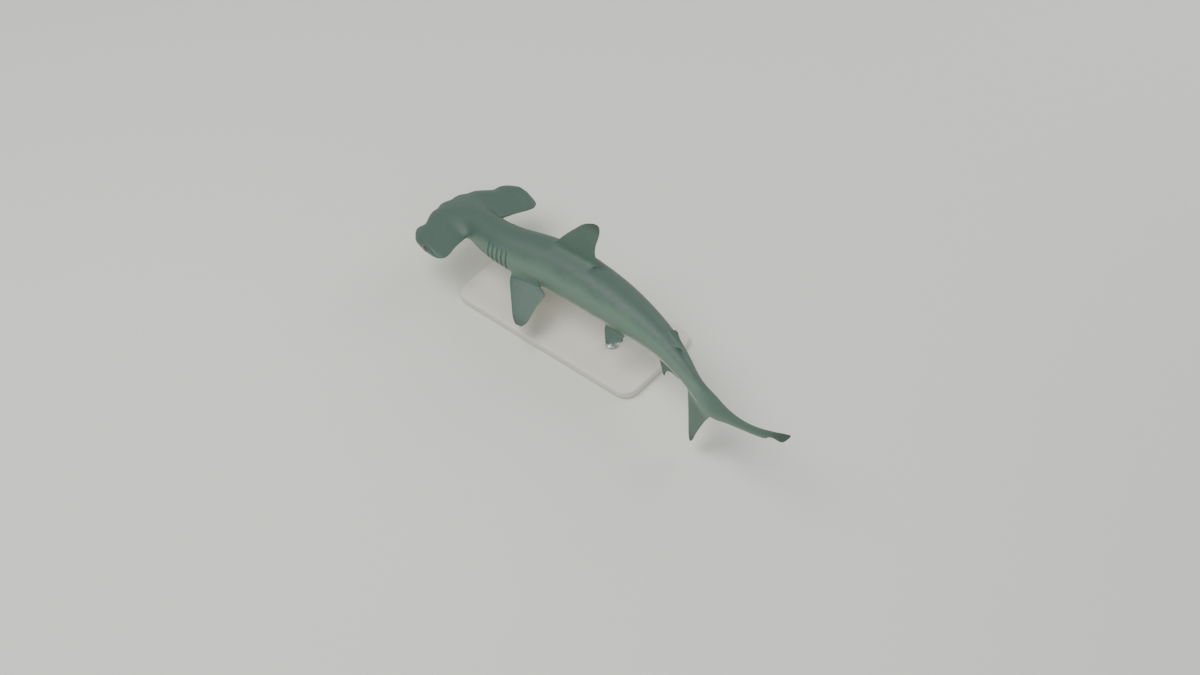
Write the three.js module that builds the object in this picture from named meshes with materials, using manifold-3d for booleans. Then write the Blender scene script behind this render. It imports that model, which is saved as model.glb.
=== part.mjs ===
// A scalloped hammerhead shark, a slim juvenile 0.9 m long, swimming in a gentle S-bend with its
// head low and its tail swung over, as a life-size still model on a flat base with two short rods.
// The body is worked out straight, from snout to tail along x, and then bent along its spine.
// Millimetres. +Z is up, the snout points to -X, the shark's right side to +Y, and the origin is
// the middle of the base's underside.
import * as THREE from "three";
import { mergeVertices } from "three/addons/utils/BufferGeometryUtils.js";
import Module from "manifold-3d";

const wasm = await Module();
wasm.setup();

// Driving sizes.
const LAST_STATION = 900; // the tip of the tail; the head's front edge is 20 before station 0
const GAP = 0.3; // between touching pieces
const SPINE_HEIGHT = 114; // of the spine over the floor, at SPINE_ANCHOR
const SPINE_ANCHOR = 300; // the station that stands over the middle of the base
const SIDES = 28; // corners round the body
const TAIL_SIDES = 20; // corners round the tail's upper lobe
const BODY_STEP = 13; // from ring to ring along the body
const FAR = 100; // past the head on every side
const DEG = Math.PI / 180;

// The pose: station, heading, rise and roll in degrees. Heading turns the tailward direction
// towards the shark's right, rise lifts it, and roll leans the back to the right.
const POSE = [
  [0, -13.5, 6, 1],
  [110, -10, 4, 1],
  [200, 7, 4.5, 2],
  [300, -3, 4.5, 3],
  [400, -6.5, 2, 8],
  [500, -12, -0.5, 12],
  [600, -24.5, -1.5, 15],
  [700, -27.5, 0, 15],
  [800, -14.5, 4, 17],
  [900, 15, 4, 17],
];

// The straight body: station, half width, height of the back, depth of the belly.
const BODY = [
  [60, 34, 26, -23],
  [85, 34.5, 30, -28],
  [104, 35, 32.5, -31],
  [125, 36.5, 34.5, -33.5],
  [150, 38.5, 37.5, -36],
  [180, 41, 41, -39],
  [210, 43.5, 44.5, -42],
  [255, 45.5, 48, -44.5],
  [300, 45.5, 49, -45],
  [345, 44.5, 47, -44],
  [390, 42.5, 44, -42.5],
  [430, 39.5, 40, -40],
  [470, 34.5, 35.5, -35],
  [510, 29, 30.5, -29.5],
  [550, 23.5, 25.5, -24.5],
  [590, 18, 21, -20],
  [622, 13.5, 18.5, -17],
  [640, 12, 19.5, -16.5],
  [665, 9.5, 25, -14.5],
  [700, 7, 36, -11.5],
  [725, 6, 40, 0.5],
  [750, 5, 44, 17],
  [800, 3.8, 54.5, 37.5],
  [840, 3, 65, 48],
  [851, 2.8, 68, 51.5],
  [857, 2.6, 69.5, 57],
  [868, 2.4, 72, 59],
  [884, 1.9, 75.5, 57],
  [892, 1.4, 76.5, 64],
  [900, 0.5, 77, 74],
];
const BODY_PARTS = [
  // node, and the stations where it starts and ends
  ["torso_front", 190, 345],
  ["torso_rear", 345, 500],
  ["tail_stalk", 500, 632],
];
const NECK_END = BODY_PARTS[0][1];
const TAIL_START = BODY_PARTS.at(-1)[2];

// The head. Half of the hammer in plan: distance from the midline, front edge, rear edge,
// height of its upper face and depth of its lower one. The front edge has a notch at the
// midline, one half way out and one at the nostril, as a scalloped hammerhead's has.
const HAMMER = [
  [0, -14.5, 87, 15, -13],
  [13, -20, 87, 15, -13],
  [25, -17.5, 87, 14.5, -12.5],
  [36, -10, 87, 13.5, -12],
  [44, -9.5, 88.5, 12.5, -11],
  [54, -4, 91, 11.8, -10.3],
  [64, 3.5, 93, 11, -9.5],
  [76, 12, 97, 10.5, -9],
  [90, 10.5, 103, 10, -8.5],
  [103, 20, 104.5, 12.5, -11.5],
  [111, 33, 98, 12.5, -11.5],
];
const HAMMER_STEPS = [36, 44, 54, 64, 76, 90, 103, 111]; // where the wing's sections stand
const TIP_BULGE = 5; // the tip's cap past the last section
const WING_CUT = 50; // where the wings of the hammer are parted from the head
const CHORD = [0.03, 0.2, 0.45, 0.72, 0.96]; // where rows cross a section, front to rear
const FULLNESS = [0.36, 0.86, 1, 0.78, 0.24]; // of a section's height at those rows
const HEAD_RINGS = [
  // the middle of the head: station, height of the back, depth of the underside
  [-11, 5, -5],
  [10, 12.5, -11.5],
  [38, 21.5, -19],
  [66, 28.5, -25.5],
  [86, 32.5, -30],
];
const RING_ACROSS = [0, 0.34, 0.68, 1]; // corners of such a ring, as shares of its half width
const EDGE_BACK = 3; // how far the front edge's corners lie before it, for the smoothing
const NECK_CUT = 118; // where the head ends
const NECK_RINGS = [104, 124, 145]; // stations past the hammer, the last one past the cut
const RING_SIDES = 16;
const NET_LIMIT = 3 / (2 + Math.cos((2 * Math.PI) / RING_SIDES)); // net to smooth ring
const HEAD_LEVELS = 1; // how often the head's net is smoothed

// Mouth: a crescent under the head. Its front edge is the line of the mouth, its rear edge is
// where the jaw runs on into the throat.
const MOUTH = { half: 31, front: 52, rear: 96, corner: 80, opening: 1.2, lip: 1.5 };
const JAW_ROOF = -13;

// Eyes, at the ends of the hammer. Depth is from the hammer's end to the middle of the eye.
const EYE = { station: 63, level: 0.5, along: 7.8, out: 6.6, up: 6.8, depth: 4.4 };
const LID = { radius: 7.3, thick: 1.3, depth: 1.1 };

// Nostrils: a pit near the end of the front edge, and a groove running inwards from it.
const NOSTRIL = { across: 84, level: -2.5, size: [3.4, 5, 1.9], groove: 1, inner: 58 };

// Gills: five slits on each side of the neck, each behind the free edge of its flap.
const GILL_SLITS = [140, 149.5, 159, 168.5, 178];
const GILL_STEP = 1; // from a flap's edge to the bottom of the slit behind it
const FLAP_RISE = 1.5;
const SLIT_DEPTH = 1.6;
const SLIT_TURNS = [48, 62, 106, 120]; // degrees from the back where slits fade in and out

// Fins. Rows along the span: distance from the root, leading edge, trailing edge, thickness.
// Turn is where the root stands, in degrees from the back, and droop how far a fin hangs.
const FINS = {
  dorsal_fin_first: {
    turn: 0,
    rows: [
      [0, 250, 346, 13],
      [5, 256, 357, 9.5],
      [9, 260, 362, 7.5],
      [15, 266, 360, 6.8],
      [22, 272, 352, 6.4],
      [32, 280, 350, 5.8],
      [48, 294, 351, 5],
      [62, 307, 355, 4.2],
      [76, 319, 358, 3.4],
      [85, 328, 358.5, 2.8],
      [91, 338, 357.5, 2.2],
      [95, 347, 354, 1.5],
    ],
  },
  dorsal_fin_second: {
    turn: 0,
    rows: [
      [0, 528, 562, 6],
      [3, 532, 592, 3.4],
      [6, 535, 596, 2.6],
      [9, 538, 580, 2.4],
      [14, 543, 565, 2],
      [18, 547, 558, 1.5],
      [20, 550, 556, 1.1],
    ],
  },
  anal_fin: {
    turn: 180,
    rows: [
      [0, 520, 560, 6],
      [3, 524, 592, 3.4],
      [6, 527, 596, 2.6],
      [10, 531, 573, 2.4],
      [18, 538, 557, 2.2],
      [26, 545, 556, 1.8],
      [31, 550, 556, 1.3],
    ],
  },
  caudal_fin_lower: {
    turn: 180,
    rows: [
      [-6, 618, 706, 12],
      [4, 623, 705, 8],
      [12, 629, 700, 5.4],
      [24, 637.5, 696, 4.2],
      [40, 648.5, 691, 3.6],
      [56, 658, 687, 3],
      [70, 667, 685.5, 2.4],
      [77, 673, 682.5, 1.6],
      [79.5, 676, 680, 1.2],
    ],
  },
};
const PAIRED = {
  pectoral_fin: {
    turn: 122,
    droop: 28,
    rows: [
      [0, 188, 250, 14],
      [5, 188, 257, 11],
      [9, 189, 269, 9.4],
      [14, 191, 276, 8.2],
      [22, 195.5, 275, 7.2],
      [34, 203, 273, 6.2],
      [48, 212.5, 273.5, 5.3],
      [60, 221, 276, 4.4],
      [70, 229, 276.5, 3.5],
      [78, 238.5, 273, 2.6],
      [83, 248, 267, 1.7],
    ],
  },
  pelvic_fin: {
    turn: 138,
    droop: 22,
    rows: [
      [0, 412, 456, 8],
      [5, 414, 464, 5.6],
      [9, 417, 467, 4.4],
      [15, 424, 460, 3.6],
      [21, 431.5, 454, 3],
      [26, 438.5, 450, 2.2],
      [28.5, 442, 448, 1.5],
    ],
  },
};
const FIN_SINK = 12; // how deep a fin's root goes into the body before it is cut there
const EDGE_SHARE = 0.16; // of a fin's thickness that its trailing edge keeps
const FIN_CHORD = [0.02, 0.08, 0.2, 0.38, 0.6, 0.82, 1]; // rows across a fin
const FIN_STEPS = 12; // sections along its span

// The display stand: a flat base and two short rods up to the belly.
const BASE = { length: 400, width: 190, thick: 16, corner: 26, bevel: 3 };
const ROD = { radius: 5, sides: 20, stations: [215, 400] };
const COLLAR = { radius: 12, top: 9, height: 6, sides: 24 };

const clamp01 = (t) => Math.min(1, Math.max(0, t));
const smoothStep = (a, b, x) => {
  const t = clamp01((x - a) / (b - a));
  return t * t * (3 - 2 * t);
};
const mix = (a, b, t) => a + (b - a) * t;

// A smooth curve through the rows of a table, read at x in the given column.
function through(table, x, column) {
  const last = table.length - 1;
  if (x <= table[0][0]) return table[0][column];
  if (x >= table[last][0]) return table[last][column];
  const i = table.findIndex((row) => row[0] > x) - 1;
  const slope = (n) => {
    const a = table[Math.max(0, n - 1)];
    const b = table[Math.min(last, n + 1)];
    return (b[column] - a[column]) / (b[0] - a[0]);
  };
  const [p, q] = [table[i], table[i + 1]];
  const span = q[0] - p[0];
  const t = (x - p[0]) / span;
  return (
    p[column] * (1 + 2 * t) * (1 - t) ** 2 +
    q[column] * t * t * (3 - 2 * t) +
    span * (slope(i) * t * (1 - t) ** 2 + slope(i + 1) * t * t * (t - 1))
  );
}

// The spine, stepped out at each millimetre: where it is and which way tail, right and up point.
const spine = [];
{
  const point = new THREE.Vector3();
  for (let x = 0; x <= LAST_STATION + 1; x += 1) {
    const [heading, rise, roll] = [1, 2, 3].map((c) => through(POSE, x, c) * DEG);
    const tail = new THREE.Vector3(
      Math.cos(rise) * Math.cos(heading),
      Math.cos(rise) * Math.sin(heading),
      Math.sin(rise),
    );
    const right = new THREE.Vector3(-Math.sin(heading), Math.cos(heading), 0);
    const up = new THREE.Vector3().crossVectors(tail, right);
    right.applyAxisAngle(tail, -roll);
    up.applyAxisAngle(tail, -roll);
    spine.push({ point: point.clone(), right, up });
    point.add(tail);
  }
  const anchor = spine[SPINE_ANCHOR].point.clone();
  for (const s of spine) {
    s.point.sub(anchor);
    s.point.z += SPINE_HEIGHT;
  }
}

// Carries a point of the straight body (station, right, up) to its place on the bent one.
function bend(x, y, z) {
  const i = Math.min(LAST_STATION, Math.max(0, Math.floor(x)));
  const [a, b] = [spine[i], spine[i + 1]];
  const t = x - i; // past either end the last millimetre's line goes on
  const turn = clamp01(t);
  return a.point
    .clone()
    .lerp(b.point, t)
    .addScaledVector(a.right.clone().lerp(b.right, turn), y)
    .addScaledVector(a.up.clone().lerp(b.up, turn), z);
}

// Triangles to a closed solid, turned face out if they were wound the other way.
function solidOf(points, triangles) {
  const geometry = new THREE.BufferGeometry().setFromPoints(points);
  geometry.setIndex(triangles);
  return solidOfGeometry(geometry);
}

function solidOfGeometry(source) {
  const geometry = source.index ? source.toNonIndexed() : source.clone();
  geometry.deleteAttribute("normal");
  geometry.deleteAttribute("uv");
  const merged = mergeVertices(geometry, 1e-3);
  const vertProperties = merged.attributes.position.array;
  const triVerts = new Uint32Array(merged.index.array);
  const build = () =>
    new wasm.Manifold(new wasm.Mesh({ numProp: 3, vertProperties, triVerts }));
  const solid = build();
  if (solid.volume() > 0) return solid;
  for (let i = 0; i < triVerts.length; i += 3) {
    [triVerts[i + 1], triVerts[i + 2]] = [triVerts[i + 2], triVerts[i + 1]];
  }
  return build();
}

// The largest closed body of a solid: what a cut leaves over is dropped.
function largest(solid) {
  return solid.decompose().reduce((a, b) => (b.volume() > a.volume() ? b : a));
}

// A closed skin over rings of points. The second half of each ring is split into triangles the
// other way, so that the two faces of a thin fin are split alike.
function skinOver(rings) {
  const size = rings[0].length;
  const points = rings.flat();
  const triangles = [];
  for (let r = 0; r + 1 < rings.length; r += 1) {
    for (let n = 0; n < size; n += 1) {
      const next = (n + 1) % size;
      const [a, b] = [r * size + n, r * size + next];
      const [c, d] = [a + size, b + size];
      if (2 * n < size) triangles.push(a, c, b, b, c, d);
      else triangles.push(a, c, d, a, d, b);
    }
  }
  for (const [ring, end] of [[rings[0], 0], [rings.at(-1), (rings.length - 1) * size]]) {
    const middle = new THREE.Vector3();
    for (const p of ring) middle.addScaledVector(p, 1 / size);
    const centre = points.push(middle) - 1;
    for (let n = 0; n < size; n += 1) {
      const next = (n + 1) % size;
      if (end === 0) triangles.push(centre, end + n, end + next);
      else triangles.push(centre, end + next, end + n);
    }
  }
  return solidOf(points, triangles);
}

// A point on the straight body's surface. Turn 0 is the back, 90 degrees the right flank.
function bodySurface(x, turn, grow = 0) {
  const [w, top, bottom] = [1, 2, 3].map((c) => through(BODY, x, c));
  const middle = (top + bottom) / 2;
  const half = (top - bottom) / 2;
  return [
    x,
    (w + grow) * Math.sin(turn),
    middle + (half + grow) * Math.cos(turn),
  ];
}

function bodyRing(x, sides, grow = 0, relief = () => 0) {
  const ring = [];
  for (let n = 0; n < sides; n += 1) {
    const turn = (2 * Math.PI * n) / sides;
    ring.push(bend(...bodySurface(x, turn, grow + relief(x, turn))));
  }
  return ring;
}

// A length of the body between two stations, in even steps of about the given size.
function bodyLength(from, to, step, sides = SIDES, grow = 0) {
  const count = Math.max(1, Math.round((to - from) / step));
  const rings = [];
  for (let n = 0; n <= count; n += 1) {
    rings.push(bodyRing(mix(from, to, n / count), sides, grow));
  }
  return skinOver(rings);
}

// A net of faces with corners, closed, to be smoothed by Catmull and Clark's rule.
class Net {
  constructor() {
    this.corners = [];
    this.faces = [];
  }

  corner(x, y, z) {
    return this.corners.push(new THREE.Vector3(x, y, z)) - 1;
  }

  face(flipped, ...corners) {
    this.faces.push(flipped ? corners.reverse() : corners);
  }

  smoothed() {
    const next = new Net();
    const count = this.corners.length;
    const ofCorner = this.corners.map(() => ({
      faces: new THREE.Vector3(),
      edges: new THREE.Vector3(),
      number: 0,
    }));
    const edges = new Map();
    const edgeKey = (a, b) => (a < b ? a * count + b : b * count + a);
    const centres = this.faces.map((face) => {
      const centre = new THREE.Vector3();
      for (const c of face) centre.addScaledVector(this.corners[c], 1 / face.length);
      face.forEach((a, n) => {
        ofCorner[a].faces.add(centre);
        ofCorner[a].number += 1;
        const b = face[(n + 1) % face.length];
        const key = edgeKey(a, b);
        if (!edges.has(key)) edges.set(key, { a, b, sum: new THREE.Vector3() });
        edges.get(key).sum.add(centre);
      });
      return centre;
    });
    for (const edge of edges.values()) {
      const middle = this.corners[edge.a].clone().add(this.corners[edge.b]).multiplyScalar(0.5);
      ofCorner[edge.a].edges.add(middle);
      ofCorner[edge.b].edges.add(middle);
      edge.point = middle.clone().multiplyScalar(2).add(edge.sum).multiplyScalar(0.25);
    }
    const moved = this.corners.map((corner, n) => {
      const { faces, edges: middles, number } = ofCorner[n];
      return corner
        .clone()
        .multiplyScalar(number - 3)
        .addScaledVector(faces, 1 / number)
        .addScaledVector(middles, 2 / number)
        .multiplyScalar(1 / number);
    });
    next.corners = moved;
    for (const edge of edges.values()) edge.index = next.corners.push(edge.point) - 1;
    const centreIndex = centres.map((centre) => next.corners.push(centre) - 1);
    this.faces.forEach((face, f) => {
      face.forEach((a, n) => {
        const b = face[(n + 1) % face.length];
        const before = face[(n + face.length - 1) % face.length];
        next.faces.push([
          a,
          edges.get(edgeKey(a, b)).index,
          centreIndex[f],
          edges.get(edgeKey(before, a)).index,
        ]);
      });
    });
    return next;
  }

  solid() {
    const triangles = [];
    for (const [first, ...rest] of this.faces) {
      for (let n = 0; n + 1 < rest.length; n += 1) triangles.push(first, rest[n], rest[n + 1]);
    }
    return solidOf(this.corners.map((c) => bend(c.x, c.y, c.z)), triangles);
  }
}

// One section of the hammer at a distance from the midline, as rows of [x, height above, below].
function hammerSection(across) {
  const [front, rear, above, below] = [1, 2, 3, 4].map((c) => through(HAMMER, across, c));
  return CHORD.map((share, n) => [
    mix(front, rear, share),
    above * FULLNESS[n],
    below * FULLNESS[n],
  ]);
}

function headNet() {
  const net = new Net();
  const rings = [];
  const root = HAMMER_STEPS[0];
  const wing = hammerSection(root);
  HEAD_RINGS.forEach(([x, back, under], n) => {
    const [stationAtRoot, above, below] = wing[n];
    const ring = [];
    const add = (turn, y, z, station) => {
      ring[turn] = net.corner(station, y, z);
      if (turn > 0 && turn < 8) ring[16 - turn] = net.corner(station, -y, z);
    };
    RING_ACROSS.forEach((share, turn) => {
      const fall = share ** 2;
      const station = mix(x, stationAtRoot, share);
      add(turn, share * root, mix(back, above, fall), station);
      add(8 - turn, share * root, mix(under, below, fall), station);
    });
    if (n === 0) add(4, root, (above + below) / 2, through(HAMMER, root, 1));
    if (n === 4) add(4, root + 2, (above + below) / 2, stationAtRoot + 4);
    rings.push(ring);
  });
  for (const x of NECK_RINGS) {
    const ring = [];
    for (let n = 0; n < RING_SIDES; n += 1) {
      const [, y, z] = bodySurface(x, (2 * Math.PI * n) / RING_SIDES);
      ring.push(net.corner(x, y * NET_LIMIT, z * NET_LIMIT));
    }
    rings.push(ring);
  }
  const isWingRoot = (ring, turn) =>
    ring < 4 && (turn === 3 || turn === 4 || turn === 11 || turn === 12);
  for (let r = 0; r + 1 < rings.length; r += 1) {
    for (let turn = 0; turn < RING_SIDES; turn += 1) {
      const next = (turn + 1) % RING_SIDES;
      if (!isWingRoot(r, turn)) {
        net.face(false, rings[r][turn], rings[r + 1][turn], rings[r + 1][next], rings[r][next]);
      }
    }
  }
  net.face(true, ...rings.at(-1));
  addFrontEdge(net, rings[0]);
  addWing(net, rings, 1);
  addWing(net, rings, -1);
  return net;
}

// The front edge between the wings: a row of corners along it, joined above and below.
function addFrontEdge(net, ring) {
  const upper = [3, 2, 1, 0, 15, 14, 13].map((n) => ring[n]);
  const lower = [5, 6, 7, 8, 9, 10, 11].map((n) => ring[n]);
  const middle = upper.map((corner, n) => {
    if (n === 0) return ring[4];
    if (n === 6) return ring[12];
    const y = net.corners[corner].y;
    return net.corner(through(HAMMER, Math.abs(y), 1) - EDGE_BACK, y, 0);
  });
  for (let n = 0; n < 6; n += 1) {
    net.face(false, upper[n], middle[n], middle[n + 1], upper[n + 1]);
    net.face(false, middle[n], lower[n], lower[n + 1], middle[n + 1]);
  }
}

// One wing of the hammer, from its root on the head's side to the tip.
function addWing(net, rings, side) {
  const [upper, edge, lower] = side > 0 ? [3, 4, 5] : [13, 12, 11];
  const flipped = side < 0;
  let loop = [
    ...[0, 1, 2, 3, 4].map((r) => rings[r][upper]),
    rings[4][edge],
    ...[4, 3, 2, 1, 0].map((r) => rings[r][lower]),
    rings[0][edge],
  ];
  const join = (next) => {
    loop.forEach((corner, n) => {
      const m = (n + 1) % loop.length;
      net.face(flipped, corner, loop[m], next[m], next[n]);
    });
    loop = next;
  };
  for (const y of HAMMER_STEPS.slice(1)) {
    const rows = hammerSection(y);
    const [front, rear] = [1, 2].map((c) => through(HAMMER, y, c));
    join([
      ...rows.map(([x, above]) => net.corner(x, side * y, above)),
      net.corner(rear + 2, side * y, 0),
      ...rows.map(([x, , below]) => net.corner(x, side * y, below)).reverse(),
      net.corner(front - 2, side * y, 0),
    ]);
  }
  const tip = HAMMER_STEPS.at(-1);
  const rows = hammerSection(tip);
  const cap = [
    loop[11],
    ...[1, 2, 3].map((n) => net.corner(rows[n][0], side * (tip + TIP_BULGE), 0)),
    loop[5],
  ];
  for (let n = 0; n < 4; n += 1) {
    net.face(flipped, loop[n], loop[n + 1], cap[n + 1], cap[n]);
    net.face(flipped, cap[n], cap[n + 1], loop[9 - n], loop[10 - n]);
  }
}

// A fin's thickness at a share of its chord, against the greatest: blunt in front, thin behind.
const profile = (share) =>
  EDGE_SHARE * Math.min(1, share / 0.05) +
  (1 - EDGE_SHARE) * 1.58 * Math.sqrt(share) * (1 - share ** 1.1);

// A fin as rings of points round its sections. Place says where (station, side, span) lies.
function finRings(rows, steps, place) {
  const [start, end] = [rows[0][0], rows.at(-1)[0]];
  const rings = [];
  for (let n = -1; n <= steps; n += 1) {
    const share = n < 0 ? 0 : n / steps;
    const span = mix(start, end, 1 - (1 - share) ** 1.5);
    const [lead, trail, thick] = [1, 2, 3].map((c) => through(rows, span, c));
    const depth = n < 0 ? start - FIN_SINK : span;
    const at = (c, side) => place(mix(lead, trail, c), (side * thick * profile(c)) / 2, depth);
    rings.push([
      at(0, 0),
      ...FIN_CHORD.map((c) => at(c, 1)),
      ...FIN_CHORD.map((c) => at(c, -1)).reverse(),
    ]);
  }
  return rings;
}

// A fin on the midline: it stands on the back at turn 0 and hangs from the belly at 180.
function medianFin({ turn, rows }, steps) {
  const way = turn === 0 ? 1 : -1;
  const column = turn === 0 ? 2 : 3;
  return skinOver(
    finRings(rows, steps, (x, thick, span) => {
      const rootX = Math.min(x, rows[0][2]);
      return bend(x, thick, through(BODY, rootX, column) + way * span);
    }),
  );
}

// A fin of a pair, standing out from the flank and drooping.
function sideFin({ turn, droop, rows }, steps, side) {
  const [rootFrom, rootTo] = [rows[0][1], rows[0][2]];
  const [, rootY, rootZ] = bodySurface((rootFrom + rootTo) / 2, turn * DEG);
  const [out, down] = [Math.cos(droop * DEG), Math.sin(droop * DEG)];
  return skinOver(
    finRings(rows, steps, (x, thick, span) =>
      bend(x, side * (rootY + span * out + thick * down), rootZ - span * down + thick * out),
    ),
  );
}

const BLOCK_STEPS = [8, 1, 3]; // so that its faces follow the bend alike

// A block in straight-body places, carried to where it is on the bent body.
function block(from, to) {
  const size = [0, 1, 2].map((n) => to[n] - from[n]);
  const geometry = new THREE.BoxGeometry(...size, ...BLOCK_STEPS);
  const place = geometry.attributes.position;
  for (let n = 0; n < place.count; n += 1) {
    const at = bend(
      place.getX(n) + (from[0] + to[0]) / 2,
      place.getY(n) + (from[1] + to[1]) / 2,
      place.getZ(n) + (from[2] + to[2]) / 2,
    );
    place.setXYZ(n, at.x, at.y, at.z);
  }
  return solidOfGeometry(geometry);
}

// Any three.js shape made in straight-body places, carried over in the same way.
function bentShape(geometry) {
  const place = geometry.attributes.position;
  for (let n = 0; n < place.count; n += 1) {
    const at = bend(place.getX(n), place.getY(n), place.getZ(n));
    place.setXYZ(n, at.x, at.y, at.z);
  }
  return solidOfGeometry(geometry);
}

// A round tube along points of the straight head, thinning out to its ends.
function taperedTube(points, radius, sides) {
  const path = new THREE.CatmullRomCurve3(points);
  const steps = points.length * 2;
  const rings = [];
  for (let n = 0; n <= steps; n += 1) {
    const share = n / steps;
    const at = path.getPoint(share);
    const along = path.getTangent(share);
    const across = new THREE.Vector3(0, 0, 1).cross(along).normalize();
    const upward = along.clone().cross(across);
    const thin = radius * (0.35 + 0.65 * Math.sin(Math.PI * share) ** 0.5);
    const ring = [];
    for (let side = 0; side < sides; side += 1) {
      const turn = (2 * Math.PI * side) / sides;
      const p = at
        .clone()
        .addScaledVector(across, thin * Math.cos(turn))
        .addScaledVector(upward, thin * Math.sin(turn));
      ring.push(bend(p.x, p.y, p.z));
    }
    rings.push(ring);
  }
  return skinOver(rings);
}

// The smoothed head, before it is bent, to find places on its surface.
class Surface {
  constructor(net) {
    const triangles = [];
    for (const [a, b, c, d] of net.faces) triangles.push(a, b, c, a, c, d);
    const geometry = new THREE.BufferGeometry().setFromPoints(net.corners);
    geometry.setIndex(triangles);
    this.mesh = new THREE.Mesh(geometry, new THREE.MeshBasicMaterial({ side: THREE.DoubleSide }));
  }

  hit(origin, direction) {
    const ray = new THREE.Raycaster(
      new THREE.Vector3(...origin),
      new THREE.Vector3(...direction),
    );
    return ray.intersectObject(this.mesh)[0].point;
  }

  underside(x, y) {
    return this.hit([x, y, -FAR], [0, 0, 1]);
  }

  front(y, z) {
    return this.hit([-FAR, y, z], [1, 0, 0]);
  }

  tip(x, z, side) {
    return this.hit([x, side * FAR * 2, z], [0, -side, 0]);
  }
}

// The mouth's edges: how far back they are at a distance from the midline.
const mouthFront = (y) => mix(MOUTH.front, MOUTH.corner, (y / MOUTH.half) ** 2);
const mouthRear = (y) => mix(MOUTH.rear, MOUTH.corner, (y / MOUTH.half) ** 2);

// The jaw's space as an upright prism, or with margins taken off its front and all round.
function mouthPrism(frontMargin, margin, roof) {
  const outline = new THREE.Shape();
  const half = MOUTH.half - 2 * frontMargin;
  const steps = 12;
  for (let n = 0; n <= steps; n += 1) {
    const y = mix(-half, half, n / steps);
    const x = mouthFront(y) + frontMargin;
    if (n === 0) outline.moveTo(x, y);
    else outline.lineTo(x, y);
  }
  for (let n = 0; n <= steps; n += 1) {
    const y = mix(half, -half, n / steps);
    outline.lineTo(mouthRear(y) - margin, y);
  }
  const depth = FAR / 2;
  const geometry = new THREE.ExtrudeGeometry(outline, { depth, bevelEnabled: false });
  geometry.translate(0, 0, roof - depth);
  return bentShape(geometry);
}

// A lip along the mouth line, half sunk into the skin beside it.
function lip(surface, offset) {
  const points = [];
  const steps = 8;
  for (let n = 0; n <= steps; n += 1) {
    const y = mix(-0.93, 0.93, n / steps) * MOUTH.half;
    points.push(surface.underside(mouthFront(y) + offset, y));
  }
  return taperedTube(points, MOUTH.lip, 6);
}

// An eye in the hammer's end, or with some growth the space that it needs.
function eyeball(tip, side, grow) {
  const geometry = new THREE.SphereGeometry(1, 20, 12);
  geometry.rotateX(Math.PI / 2);
  geometry.scale(EYE.along + grow, EYE.out + grow, EYE.up + grow);
  geometry.translate(EYE.station, tip - side * EYE.depth, EYE.level);
  return bentShape(geometry);
}

function eyelids(tip, side) {
  const geometry = new THREE.TorusGeometry(LID.radius, LID.thick, 6, 20);
  geometry.rotateX(Math.PI / 2);
  geometry.scale(EYE.along / LID.radius, 1, EYE.up / LID.radius);
  geometry.translate(EYE.station, tip - side * LID.depth, EYE.level);
  return bentShape(geometry);
}

function nostril(surface, side) {
  const geometry = new THREE.SphereGeometry(1, 14, 8);
  geometry.scale(...NOSTRIL.size);
  const edge = surface.front(side * NOSTRIL.across, NOSTRIL.level);
  geometry.translate(edge.x + 0.6, edge.y, edge.z);
  const points = [];
  const steps = 4;
  for (let n = 0; n <= steps; n += 1) {
    const across = mix(NOSTRIL.across - 2, NOSTRIL.inner, n / steps);
    points.push(surface.front(side * across, NOSTRIL.level));
  }
  return bentShape(geometry).add(taperedTube(points, NOSTRIL.groove, 6));
}

// How far the gills' flaps rise and their slits sink, at a station and a turn round the body.
function gillRelief(x, turn) {
  const fromBack = (turn > Math.PI ? 2 * Math.PI - turn : turn) / DEG;
  const [begin, full, fade, end] = SLIT_TURNS;
  const window = smoothStep(begin, full, fromBack) * (1 - smoothStep(fade, end, fromBack));
  const spacing = GILL_SLITS[1] - GILL_SLITS[0];
  const first = GILL_SLITS[0] - spacing;
  const next = GILL_SLITS.find((slit) => slit >= x - 1e-6);
  if (next === undefined) {
    const past = (x - GILL_SLITS.at(-1) - GILL_STEP) / spacing;
    return -window * SLIT_DEPTH * (1 - clamp01(past));
  }
  const share = clamp01((x - (next - spacing) - GILL_STEP) / (spacing - GILL_STEP));
  const from = next === GILL_SLITS[0] ? 0 : -SLIT_DEPTH;
  if (x <= first) return 0;
  return window * mix(from, FLAP_RISE, share);
}

// The neck: its rings stand closer where the gills are.
function neckSolid() {
  const stations = [NECK_CUT + GAP, mix(NECK_CUT, GILL_SLITS[0], 0.3)];
  for (const slit of GILL_SLITS) {
    stations.push(slit - 5 * GILL_STEP, slit, slit + GILL_STEP);
  }
  stations.push(mix(GILL_SLITS.at(-1), NECK_END, 0.5), NECK_END);
  return skinOver(stations.map((x) => bodyRing(x, SIDES, 0, gillRelief)));
}

// The stand's base, with its corners rounded and its edges eased.
function baseSolid() {
  const [l, w, r] = [BASE.length / 2 - BASE.bevel, BASE.width / 2 - BASE.bevel, BASE.corner];
  const outline = new THREE.Shape();
  outline.moveTo(-l + r, -w);
  outline.lineTo(l - r, -w);
  outline.absarc(l - r, -w + r, r, -Math.PI / 2, 0);
  outline.absarc(l - r, w - r, r, 0, Math.PI / 2);
  outline.absarc(-l + r, w - r, r, Math.PI / 2, Math.PI);
  outline.absarc(-l + r, -w + r, r, Math.PI, 1.5 * Math.PI);
  const geometry = new THREE.ExtrudeGeometry(outline, {
    depth: BASE.thick - 2 * BASE.bevel,
    bevelThickness: BASE.bevel,
    bevelSize: BASE.bevel,
    bevelSegments: 2,
    curveSegments: 5,
  });
  geometry.translate(0, 0, BASE.bevel);
  return solidOfGeometry(geometry);
}

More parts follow.
